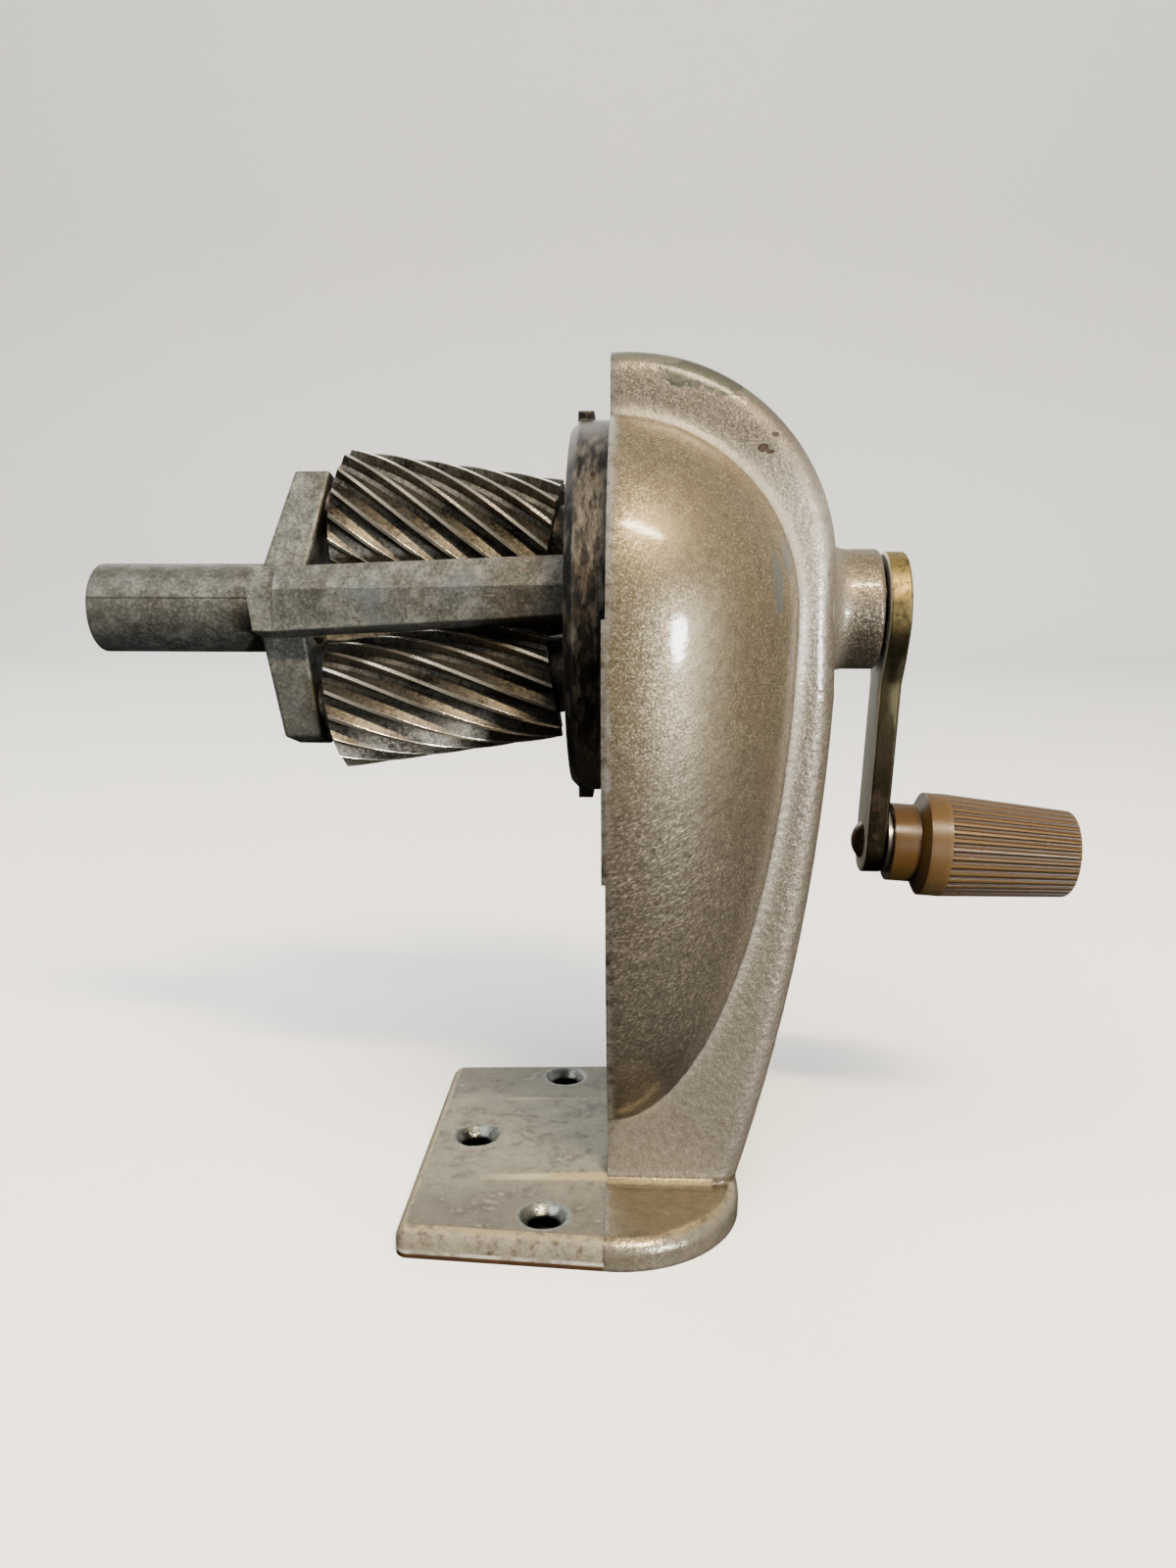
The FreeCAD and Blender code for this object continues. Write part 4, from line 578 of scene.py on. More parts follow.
def coat_waves(tree, look, on, cell):
    """The normals of the flakes and of the clear coat over them.

    The sprayed coat has waves; on the lower shell they are drawn out into slanting wrinkles."""
    wrinkle = add(tree, "TexNoise", {
        "Vector": on.slant, "Scale": 1 / look.peel, "Detail": 3.0, "Roughness": 0.55,
    })
    pebble = add(tree, "TexNoise", {"Vector": on.place, "Scale": 1 / (0.8 * look.peel), "Detail": 2.0})
    low = add(tree, "MapRange", {"Value": on.upper, "From Min": 0.7, "From Max": 0.05, "To Min": 0.35})
    wave = add(tree, "Math", {0: wrinkle, 1: low}, operation="MULTIPLY")
    waves = add(tree, "Mix", {"Factor": on.spine, "A": wave, "B": pebble})
    paint_normal, coat_normal = (
        add(tree, "Bump", {
            "Strength": strength, "Distance": 0.22 * MM, "Height": waves, "Normal": on.soft,
        }) for strength in (0.6, 0.22)
    )
    pits = add(tree, "Math", {0: on.chip, 1: on.patch}, operation="MAXIMUM")
    chipped = add(tree, "Bump", {
        "Strength": 0.8, "Distance": 0.12 * MM, "Height": pits, "Normal": paint_normal,
    }, invert=True)
    middle_grey = (0.5, 0.5, 0.5)
    most_tilt = (0.5, 0.5, 0.5)
    tilt = add(tree, "VectorMath", {0: cell, 1: middle_grey}, operation="SUBTRACT")
    tilted = add(tree, "VectorMath", {0: tilt, 1: most_tilt, 2: chipped}, operation="MULTIPLY_ADD")
    return add(tree, "VectorMath", {0: tilted}, operation="NORMALIZE"), coat_normal


def sprayed_metallic_lacquer(look):
    """Metallic lacquer, sprayed on die-cast zinc and worn.

    Aluminium flakes under a clear coat: the surface sparkles in fine dots, has the waves of a sprayed coat,
    runs from khaki at the top to brown below with painted shade at the bottom, has painted highlights and
    shade along the crease, on the spine, the boss and the foot's slopes, and shows bare zinc on edges and
    round the screws."""
    material, tree = start_material("sprayed_metallic_lacquer")
    # Each step lays its colours over the paint and adds the masks that later steps need.
    on = stand_regions(tree)
    paint, cell = metal_flakes(tree, look, on, stand_tones(tree, look, on))
    paint = soil(tree, on, paint)
    paint = wear_edges(tree, look, on, paint)
    paint = highlight_polished_slopes(tree, on, paint)
    paint = bare_places(tree, on, paint)
    sparkle, coat_normal = coat_waves(tree, look, on, cell)

    worn = on.worn
    for other in (on.crown, on.rubbed):
        worn = add(tree, "Math", {0: worn, 1: other}, operation="MAXIMUM")
    sheen = add(tree, "MapRange", {"Value": on.spine, "To Min": 0.35, "To Max": 0.39})
    dull = add(tree, "Mix", {"Factor": worn, "A": sheen, "B": 0.55})
    rough = add(tree, "Math", {0: on.grime, 1: 0.16, 2: dull}, operation="MULTIPLY_ADD")
    for share, smooth in ((on.edge, 0.3), (on.polished, 0.24)):
        rough = add(tree, "Mix", {"Factor": share, "A": rough, "B": smooth})
    gloss = add(tree, "MapRange", {"Value": worn, "To Min": 0.55, "To Max": 0.08})
    plain = add(tree, "Math", {0: on.chip, 1: on.rubbed}, operation="MAXIMUM")
    metal = add(tree, "MapRange", {"Value": plain, "To Min": 0.6, "To Max": 0.1})
    metal = add(tree, "Math", {0: metal, 1: on.screw_ring}, operation="MAXIMUM")
    surface = add(tree, "BsdfPrincipled", {
        "Base Color": paint, "Metallic": metal, "Roughness": rough, "Normal": sparkle,
        "Coat Weight": gloss, "Coat Roughness": 0.09, "Coat Normal": coat_normal,
    })
    add(tree, "OutputMaterial", {"Surface": surface})
    return material


def bare_cast_zinc(look):
    """Zinc, die-cast and never coated, gone grey and rubbed with graphite.

    The skin of the casting is matt and mottled, its raised edges are rubbed lighter, pencil dust stays in its
    corners, its lower part is painted darker as shade and its upward faces carry dust and painted shade; a
    fine parting line runs along the tube."""
    material, tree = start_material("bare_cast_zinc")
    place = add(tree, "TexCoord", out="Object")
    x, z = (add(tree, "SeparateXYZ", {0: place}, out=letter) for letter in "XZ")
    facing = add(tree, "SeparateXYZ", {0: add(tree, "TexCoord", out="Normal")}, out="Z")
    drawn = add(tree, "Mapping", {"Vector": place, "Scale": (0.16, 1, 1)})
    cloud, mottle, grain, streak = (
        add(tree, "TexNoise", {
            "Vector": way, "Scale": 1 / (size * MM), "Detail": detail, "Roughness": rough,
        }) for way, size, detail, rough in (
            (place, 9, 5.0, 0.62), (place, 2.2, 6.0, 0.68), (place, 0.45, 3.0, 0.6), (drawn, 0.6, 4.0, 0.6),
        )
    )

    # Stains, dust, flecks and painted shade on the skin, from the first laid to the last.
    skin = add(tree, "ValToRGB", {"Fac": mottle}, stops=(
        (0.33, linear("4B4C48")), (0.5, look.cast_zinc), (0.68, linear("94958E")),
    ))
    stained = add(tree, "MapRange", {"Value": cloud, "From Min": 0.48, "From Max": 0.7, "To Max": 0.75})
    toward_ring = add(tree, "MapRange", {
        "Value": x, "From Min": -46 * MM, "From Max": -10 * MM, "To Max": 0.6,
    })
    dusty = add(tree, "MapRange", {"Value": streak, "From Min": 0.42, "From Max": 0.62})
    dusty = add(tree, "Math", {0: dusty, 1: toward_ring}, operation="MULTIPLY")
    dark_fleck = add(tree, "MapRange", {"Value": grain, "From Min": 0.48, "From Max": 0.3, "To Max": 0.75})
    light_fleck = add(tree, "MapRange", {"Value": grain, "From Min": 0.54, "From Max": 0.72, "To Max": 0.5})
    # The lower part of the carrier is painted darker as shade.
    under = add(tree, "MapRange", {
        "Value": z, "From Min": CRANK_HEIGHT - 6 * MM, "From Max": CRANK_HEIGHT - 12 * MM, "To Max": 0.5,
    })
    # Upward faces take the graphite stain: dust, and painted shade against the light from above.
    dust_and_top_shade = add(tree, "MapRange", {"Value": facing, "From Min": 0.45, "From Max": 0.85, "To Max": 0.4})
    blue = add(tree, "MapRange", {"Value": cloud, "From Min": 0.4, "From Max": 0.3, "To Max": 0.5})
    scratch = add(tree, "MapRange", {"Value": streak, "From Min": 0.66, "From Max": 0.74, "To Max": 0.5})
    soft, bent = soften_edges(tree, 0.45 * MM, 6, 0.85, 0.7)
    openness = add(tree, "AmbientOcclusion", {"Distance": 6 * MM}, out="AO", samples=8)
    outward = add(tree, "MapRange", {"Value": openness, "From Min": 0.6, "From Max": 0.85})
    rubbed = bent
    for limit in (outward, mottle):
        rubbed = add(tree, "Math", {0: rubbed, 1: limit}, operation="MULTIPLY")
    corner = add(tree, "MapRange", {"Value": openness, "From Min": 0.72, "From Max": 0.3, "To Max": 0.8})

    # The parting line lies in the carrier's own plane, which is turned with the carrier.
    carrier_turn = math.radians(16)
    upward = (0, math.sin(carrier_turn), math.cos(carrier_turn))
    across = add(tree, "VectorMath", {0: place, 1: (0, 0, CRANK_HEIGHT)}, operation="SUBTRACT")
    height = add(tree, "VectorMath", {0: across, 1: upward}, operation="DOT_PRODUCT")
    off_line = add(tree, "Math", {0: height}, operation="ABSOLUTE")
    on_tube = add(tree, "MapRange", {"Value": x, "From Min": -51 * MM, "From Max": -52 * MM})
    line = add(tree, "MapRange", {"Value": off_line, "From Min": 0.22 * MM, "From Max": 0.08 * MM})
    line = add(tree, "Math", {0: line, 1: on_tube}, operation="MULTIPLY")
    line_dark = add(tree, "Math", {0: line, 1: 0.55}, operation="MULTIPLY")
    end_band = add(tree, "MapRange", {
        "Value": x, "From Min": -71.0 * MM, "From Max": -71.4 * MM, "To Max": 0.25,
    })
    for share, tone in (
        (stained, look.zinc_stain), (dusty, linear("5A4A38")), (dark_fleck, linear("3E3D39")),
        (light_fleck, linear("A5A49B")), (under, linear("3B3B39")), (dust_and_top_shade, look.zinc_stain),
        (blue, linear("6E7C82")), (scratch, linear("B7B6AE")), (rubbed, linear("BDBCB4")),
        (corner, linear("26221E")), (line_dark, linear("2F2D29")), (end_band, linear("5B5A55")),
    ):
        skin = add(tree, "Mix", {"Factor": share, "A": skin, "B": tone}, data_type="RGBA")

    pits = add(tree, "Math", {0: grain, 1: 0.4, 2: mottle}, operation="MULTIPLY_ADD")
    relief = add(tree, "Math", {0: line, 1: 0.8, 2: pits}, operation="MULTIPLY_ADD")
    bumped = add(tree, "Bump", {"Strength": 0.5, "Distance": 0.18 * MM, "Height": relief, "Normal": soft})
    rough = add(tree, "MapRange", {
        "Value": mottle, "From Min": 0.3, "From Max": 0.7, "To Min": 0.62, "To Max": 0.44,
    })
    surface = add(tree, "BsdfPrincipled", {
        "Base Color": skin, "Metallic": 0.6, "Roughness": rough, "Normal": bumped,
    })
    add(tree, "OutputMaterial", {"Surface": surface})
    return material


def blackened_casting(look):
    """Zinc die casting, blackened in a bath and worn by the drum's rim.

    Nearly black with a dull graphite sheen; rubbed grey streaks where the drum slid on, more of them on
    upward faces as painted light, brown dust from pencil wood in the corners."""
    material, tree = start_material("blackened_casting")
    place = add(tree, "TexCoord", out="Object")
    facing = add(tree, "SeparateXYZ", {0: add(tree, "TexCoord", out="Normal")}, out="Z")
    drawn = add(tree, "Mapping", {"Vector": place, "Scale": (1, 0.3, 0.3)})
    cloud = add(tree, "TexNoise", {"Vector": place, "Scale": 1 / (5 * MM), "Detail": 6.0, "Roughness": 0.7})
    streak = add(tree, "TexNoise", {
        "Vector": drawn, "Scale": 1 / (1.1 * MM), "Detail": 5.0, "Roughness": 0.65,
    })
    grain = add(tree, "TexNoise", {"Vector": place, "Scale": 1 / (0.5 * MM), "Detail": 3.0})

    # Upward faces get more of the rubbed grey, as painted light.
    painted_top_light = add(tree, "MapRange", {"Value": facing, "From Min": -0.2, "From Max": 0.7, "To Max": 0.08})
    worn = add(tree, "Math", {0: streak, 1: painted_top_light}, operation="ADD")
    rubbed = add(tree, "MapRange", {"Value": worn, "From Min": 0.5, "From Max": 0.72, "To Max": 0.9})
    dust = add(tree, "MapRange", {"Value": cloud, "From Min": 0.52, "From Max": 0.68, "To Max": 0.7})
    soft, bent = soften_edges(tree, 0.5 * MM, 6, 0.86, 0.75)
    bent = add(tree, "Math", {0: bent, 1: streak}, operation="MULTIPLY")
    skin = look.ring_black
    for share, tone in ((rubbed, "77726A"), (dust, "4C4033"), (bent, "8B8982")):
        skin = add(tree, "Mix", {"Factor": share, "A": skin, "B": linear(tone)}, data_type="RGBA")

    bumped = add(tree, "Bump", {"Strength": 0.4, "Distance": 0.12 * MM, "Height": grain, "Normal": soft})
    rough = add(tree, "MapRange", {
        "Value": streak, "From Min": 0.35, "From Max": 0.7, "To Min": 0.38, "To Max": 0.6,
    })
    surface = add(tree, "BsdfPrincipled", {
        "Base Color": skin, "Metallic": 0.55, "Roughness": rough, "Normal": bumped,
    })
    add(tree, "OutputMaterial", {"Surface": surface})
    return material


def hardened_cutter_steel(name, joint, radius, look):
    """Tool steel, milled, hardened and ground on the lands only.

    The gullets keep a dark brown scale and pencil dust, the lands on the outside are narrow bright
    lines, dulled in places."""
    material, tree = start_material(name)
    place = add(tree, "TexCoord", out="Object")
    axis = Vector(joint["axis"]).normalized()
    from_axis = add(tree, "VectorMath", {0: place, 1: joint["pos_m"]}, operation="SUBTRACT")
    lever = add(tree, "VectorMath", {0: from_axis, 1: axis}, operation="CROSS_PRODUCT")
    reach = add(tree, "VectorMath", {0: lever}, operation="LENGTH")
    cloud = add(tree, "TexNoise", {"Vector": place, "Scale": 1 / (6 * MM), "Detail": 5.0, "Roughness": 0.65})
    chatter = add(tree, "TexNoise", {
        "Vector": place, "Scale": 1 / (0.55 * MM), "Detail": 4.0, "Roughness": 0.65,
    })
    grain = add(tree, "TexNoise", {"Vector": place, "Scale": 1 / (0.3 * MM), "Detail": 2.0})

    skin = add(tree, "ValToRGB", {"Fac": cloud}, stops=(
        (0.34, linear("2E2A26")), (0.5, look.cutter_dark), (0.66, linear("6E685C")),
    ))
    grey = add(tree, "MapRange", {"Value": chatter, "From Min": 0.5, "From Max": 0.68, "To Max": 0.65})
    grit = add(tree, "MapRange", {"Value": chatter, "From Min": 0.47, "From Max": 0.35, "To Max": 0.6})
    uneven = add(tree, "Math", {0: chatter, 1: 0.5 * look.land, 2: reach}, operation="MULTIPLY_ADD")
    land = add(tree, "MapRange", {
        "Value": uneven, "From Min": radius - 0.75 * look.land, "From Max": radius - 0.1 * look.land,
    })
    kept = add(tree, "MapRange", {"Value": cloud, "From Min": 0.34, "From Max": 0.54, "To Min": 0.4})
    land = add(tree, "Math", {0: land, 1: kept}, operation="MULTIPLY")
    openness = add(tree, "AmbientOcclusion", {"Distance": 2.5 * MM}, out="AO", samples=8)
    gullet = add(tree, "MapRange", {"Value": openness, "From Min": 0.62, "From Max": 0.25, "To Max": 0.8})
    for share, tone in (
        (grey, linear("87806F")), (grit, linear("191613")), (land, look.cutter_bright),
        (gullet, linear("14110F")),
    ):
        skin = add(tree, "Mix", {"Factor": share, "A": skin, "B": tone}, data_type="RGBA")

    rough = add(tree, "MapRange", {"Value": land, "To Min": 0.46, "To Max": 0.2})
    relief = add(tree, "Math", {0: grain, 1: chatter}, operation="ADD")
    bumped = add(tree, "Bump", {"Strength": 0.35, "Distance": 0.1 * MM, "Height": relief})
    surface = add(tree, "BsdfPrincipled", {
        "Base Color": skin, "Metallic": 0.9, "Roughness": rough, "Normal": bumped,
    })
    add(tree, "OutputMaterial", {"Surface": surface})
    return material


def yellow_plated_steel(look):
    """Mild steel strip, punched and plated yellow, the plating worn and tarnished.

    Golden at the hub, where hands kept the plating clean and a painted highlight lies, olive and dull along
    the arm, painted near-white as light on the face towards the shell, rusty at the low end, with long
    rolling marks."""
    material, tree = start_material("yellow_plated_steel")
    place = add(tree, "TexCoord", out="Object")
    z = add(tree, "SeparateXYZ", {0: place}, out="Z")
    toward_shell = add(tree, "SeparateXYZ", {0: add(tree, "TexCoord", out="Normal")}, out="X")
    cloud = add(tree, "TexNoise", {"Vector": place, "Scale": 1 / (7 * MM), "Detail": 5.0, "Roughness": 0.62})
    spot = add(tree, "TexNoise", {"Vector": place, "Scale": 1 / (1.2 * MM), "Detail": 5.0, "Roughness": 0.65})
    rolled = add(tree, "Mapping", {"Vector": place, "Scale": (1, 1, 0.08)})
    rolling = add(tree, "TexNoise", {"Vector": rolled, "Scale": 1 / (0.35 * MM), "Detail": 3.0})

    # The punch draws the plating smooth over the neck below the hub.
    from_neck = add(tree, "Math", {0: z, 1: CRANK_HEIGHT - 11 * MM}, operation="SUBTRACT")
    from_neck = add(tree, "Math", {0: from_neck}, operation="ABSOLUTE")
    radius = add(tree, "MapRange", {
        "Value": from_neck, "From Min": 6 * MM, "From Max": 2 * MM, "To Min": 0.35 * MM, "To Max": 3 * MM,
    })
    soft, bent = soften_edges(tree, radius, 8, 0.86, 0.8)

    drift = add(tree, "Math", {0: cloud, 1: 20 * MM, 2: z}, operation="MULTIPLY_ADD")
    # The hub is golden: plating kept clean by hands, and a painted highlight.
    clean = add(tree, "MapRange", {
        "Value": drift, "From Min": CRANK_HEIGHT + 4 * MM, "From Max": CRANK_HEIGHT + 17 * MM,
    }, interpolation_type="SMOOTHSTEP")
    dark = add(tree, "MapRange", {"Value": spot, "From Min": 0.48, "From Max": 0.62, "To Max": 0.75})
    bright = add(tree, "Math", {0: bent, 1: cloud}, operation="MULTIPLY")
    low = add(tree, "MapRange", {
        "Value": z, "From Min": CRANK_HEIGHT - 12 * MM, "From Max": CRANK_HEIGHT - 26 * MM,
    })
    dirty = add(tree, "Math", {0: low, 1: 0.85}, operation="MULTIPLY")
    rusted = add(tree, "Math", {0: spot, 1: 0.5, 2: cloud}, operation="MULTIPLY_ADD")
    rusted = add(tree, "MapRange", {"Value": rusted, "From Min": 0.78, "From Max": 0.92})
    rusted = add(tree, "Math", {0: rusted, 1: low}, operation="MULTIPLY")
    # The face towards the shell is painted near-white: painted light on a face that the lamps leave in shade.
    grey = add(tree, "MapRange", {"Value": toward_shell, "From Min": -0.4, "From Max": -0.8, "To Max": 0.92})
    skin = look.plate_green
    for share, tone in (
        (clean, look.plate_yellow), (dark, linear("3A3423")), (bright, linear("C9B98A")),
        (dirty, linear("151106")), (rusted, look.rust), (grey, linear("E4E2D8")),
    ):
        skin = add(tree, "Mix", {"Factor": share, "A": skin, "B": tone}, data_type="RGBA")

    bumped = add(tree, "Bump", {"Strength": 0.3, "Distance": 0.06 * MM, "Height": rolling, "Normal": soft})
    pitted = add(tree, "Bump", {"Strength": 0.5, "Distance": 0.1 * MM, "Height": spot, "Normal": bumped})
    rough = add(tree, "MapRange", {
        "Value": spot, "From Min": 0.35, "From Max": 0.7, "To Min": 0.42, "To Max": 0.6,
    })
    metal = add(tree, "MapRange", {"Value": rusted, "To Min": 0.97, "To Max": 0.7})
    surface = add(tree, "BsdfPrincipled", {
        "Base Color": skin, "Metallic": metal, "Roughness": rough, "Normal": pitted,
    })
    add(tree, "OutputMaterial", {"Surface": surface})
    return material


def turned_steel(name, base, tarnish, share):
    """Mild steel, turned or punched, then left bare or browned; near-black where it stands for painted shade.

    Fine tool marks, and patches of tarnish that spread as the share goes up."""
    material, tree = start_material(name)
    place = add(tree, "TexCoord", out="Object")
    cloud = add(tree, "TexNoise", {
        "Vector": place, "Scale": 1 / (2.5 * MM), "Detail": 5.0, "Roughness": 0.65,
    })
    grain = add(tree, "TexNoise", {"Vector": place, "Scale": 1 / (0.25 * MM), "Detail": 3.0})
    brown = add(tree, "MapRange", {"Value": cloud, "From Min": 0.66 - share / 2, "From Max": 0.8 - share / 2})
    skin = add(tree, "Mix", {"Factor": brown, "A": base, "B": tarnish}, data_type="RGBA")
    soft = add(tree, "Bevel", {"Radius": 0.15 * MM}, samples=4)
    bumped = add(tree, "Bump", {"Strength": 0.3, "Distance": 0.04 * MM, "Height": grain, "Normal": soft})
    rough = add(tree, "MapRange", {"Value": brown, "To Min": 0.28, "To Max": 0.52})
    surface = add(tree, "BsdfPrincipled", {
        "Base Color": skin, "Metallic": 0.95, "Roughness": rough, "Normal": bumped,
    })
    add(tree, "OutputMaterial", {"Surface": surface})
    return material


def moulded_tan_plastic(look, joint):
    """Polystyrene, moulded, faded by light and handled for years.

    Glossy on the ribs, their tops painted lighter as a highlight, dirt in the flutes, the sheltered collar
    more orange than the faded grip."""
    material, tree = start_material("moulded_tan_plastic")
    place = add(tree, "TexCoord", out="Object")
    from_arm = add(tree, "VectorMath", {0: place, 1: joint["pos_m"]}, operation="SUBTRACT")
    along = add(tree, "VectorMath", {0: from_arm, 1: joint["axis"]}, operation="DOT_PRODUCT")
    cloud = add(tree, "TexNoise", {"Vector": place, "Scale": 1 / (4 * MM), "Detail": 5.0, "Roughness": 0.6})
    speck = add(tree, "TexNoise", {"Vector": place, "Scale": 1 / (0.6 * MM), "Detail": 4.0, "Roughness": 0.6})

    sheltered = add(tree, "MapRange", {
        "Value": along, "From Min": 6.6 * MM, "From Max": 4.6 * MM,
    }, interpolation_type="SMOOTHSTEP")
    shade = add(tree, "MapRange", {"Value": cloud, "From Min": 0.4, "From Max": 0.75, "To Max": 0.45})
    specks = add(tree, "MapRange", {"Value": speck, "From Min": 0.64, "From Max": 0.76, "To Max": 0.5})
    openness = add(tree, "AmbientOcclusion", {"Distance": 0.8 * MM}, out="AO", samples=8, only_local=True)
    groove = add(tree, "MapRange", {"Value": openness, "From Min": 0.96, "From Max": 0.74, "To Max": 0.95})
    # The tops of the ribs are painted lighter as a highlight.
    painted_rib_highlight = add(tree, "MapRange", {"Value": openness, "From Min": 0.96, "From Max": 1.0, "To Max": 0.28})
    off_collar = add(tree, "MapRange", {"Value": along, "From Min": 8 * MM, "From Max": 9 * MM})
    painted_rib_highlight = add(tree, "Math", {0: painted_rib_highlight, 1: off_collar}, operation="MULTIPLY")
    skin = look.grip
    for share, tone in (
        (sheltered, look.collar), (shade, linear("443418")), (specks, look.dirt), (groove, look.dirt),
        (painted_rib_highlight, linear("8A6F48")),
    ):
        skin = add(tree, "Mix", {"Factor": share, "A": skin, "B": tone}, data_type="RGBA")

    soft = add(tree, "Bevel", {"Radius": 0.15 * MM}, samples=4)
    bumped = add(tree, "Bump", {"Strength": 0.25, "Distance": 0.08 * MM, "Height": speck, "Normal": soft})
    rough = add(tree, "MapRange", {
        "Value": cloud, "From Min": 0.3, "From Max": 0.7, "To Min": 0.24, "To Max": 0.4,
    })
    surface = add(tree, "BsdfPrincipled", {
        "Base Color": skin, "Roughness": rough, "IOR": 1.58, "Specular IOR Level": 0.27, "Normal": bumped,
    })
    add(tree, "OutputMaterial", {"Surface": surface})
    return material


def matt_painted_board(look):
    """Emulsion, rolled on board: matt, even and pale, with the faintest roller texture."""
    material, tree = start_material("matt_painted_board")
    place = add(tree, "TexCoord", out="Object")
    roller = add(tree, "TexNoise", {"Vector": place, "Scale": 1 / (4 * MM), "Detail": 3.0})
    tint = add(tree, "MapRange", {"Value": roller, "To Max": 0.12})
    paint = add(tree, "Mix", {"Factor": tint, "A": look.floor, "B": linear("C8C6C0")}, data_type="RGBA")
    bumped = add(tree, "Bump", {"Strength": 0.1, "Distance": 0.1 * MM, "Height": roller})
    surface = add(tree, "BsdfPrincipled", {"Base Color": paint, "Roughness": 0.8, "Normal": bumped})
    add(tree, "OutputMaterial", {"Surface": surface})
    return material


class SHARPENER_OT_stand(bpy.types.Operator):
    """Lacquers the stand"""
    bl_idname = "sharpener.stand"
    bl_label = "Stand"

    def execute(self, context):
        dress(sprayed_metallic_lacquer(context.scene.sharpener_lacquer), "body_casting")
        return {"FINISHED"}


class SHARPENER_OT_ring(bpy.types.Operator):
    """Blackens the ring gear and finishes its screws"""
    bl_idname = "sharpener.ring"
    bl_label = "Ring gear"

    def execute(self, context):
        look = context.scene.sharpener_metal
        dress(blackened_casting(look), "ring_gear")
        dress(turned_steel("dull_screw_steel", linear("7C7972"), linear("3A332B"), 0.3), "ring_screws")
        return {"FINISHED"}


class SHARPENER_OT_carrier(bpy.types.Operator):
    """Finishes the cutter carrier"""
    bl_idname = "sharpener.carrier"
    bl_label = "Carrier"

    def execute(self, context):
        dress(bare_cast_zinc(context.scene.sharpener_metal), "cutter_carrier")
        return {"FINISHED"}


class SHARPENER_OT_cutters(bpy.types.Operator):
    """Finishes the two cutters and their pinions"""
    bl_idname = "sharpener.cutters"
    bl_label = "Cutters"

    def execute(self, context):
        look = context.scene.sharpener_metal
        for side in ("upper", "lower"):
            joint = JOINTS[f"{side}_cutter_spin"]
            centre = Vector(joint["pos_m"])
            axis = Vector(joint["axis"]).normalized()
            node = frame["nodes"][f"{side}_cutter"]
            radius = max((corner.co - centre).cross(axis).length for corner in node.data.vertices)
            steel = hardened_cutter_steel(f"hardened_cutter_steel_{side}", joint, radius, look)
            dress(steel, f"{side}_cutter", f"{side}_pinion")
        return {"FINISHED"}


class SHARPENER_OT_pins(bpy.types.Operator):
    """Finishes the spindle, the pins and the washers"""
    bl_idname = "sharpener.pins"
    bl_label = "Pins and washers"

    def execute(self, context):
        look = context.scene.sharpener_metal
        bright = turned_steel("bright_turned_steel", look.steel, linear("6B5D4C"), 0.1)
        dress(bright, "crank_spindle", "spindle_cross_pin", "knob_washer")
        # The washer between boss and arm is painted near-black as the shade in that gap.
        shade_dark_steel = turned_steel("washer_steel_dark_as_shade", linear("1F1D1B"), linear("120F0C"), 0.4)
        dress(shade_dark_steel, "spindle_washer")
        greasy = turned_steel("greasy_turned_steel", linear("8A857B"), linear("3A3027"), 0.4)
        for side in ("upper", "lower"):
            dress(greasy, f"{side}_cutter_pin", f"{side}_front_washer", f"{side}_rear_washer")
        return {"FINISHED"}


class SHARPENER_OT_crank(bpy.types.Operator):
    """Finishes the crank arm and its rivet"""
    bl_idname = "sharpener.crank"
    bl_label = "Crank arm"

    def execute(self, context):
        look = context.scene.sharpener_metal
        dress(yellow_plated_steel(look), "crank_arm")
        dress(turned_steel("browned_rivet_steel", linear("5A4A38"), look.rust, 0.5), "knob_rivet")
        return {"FINISHED"}


class SHARPENER_OT_knob(bpy.types.Operator):
    """Finishes the crank's knob"""
    bl_idname = "sharpener.knob"
    bl_label = "Knob"

    def execute(self, context):
        dress(moulded_tan_plastic(context.scene.sharpener_knob, JOINTS["knob_spin"]), "crank_knob")
        return {"FINISHED"}


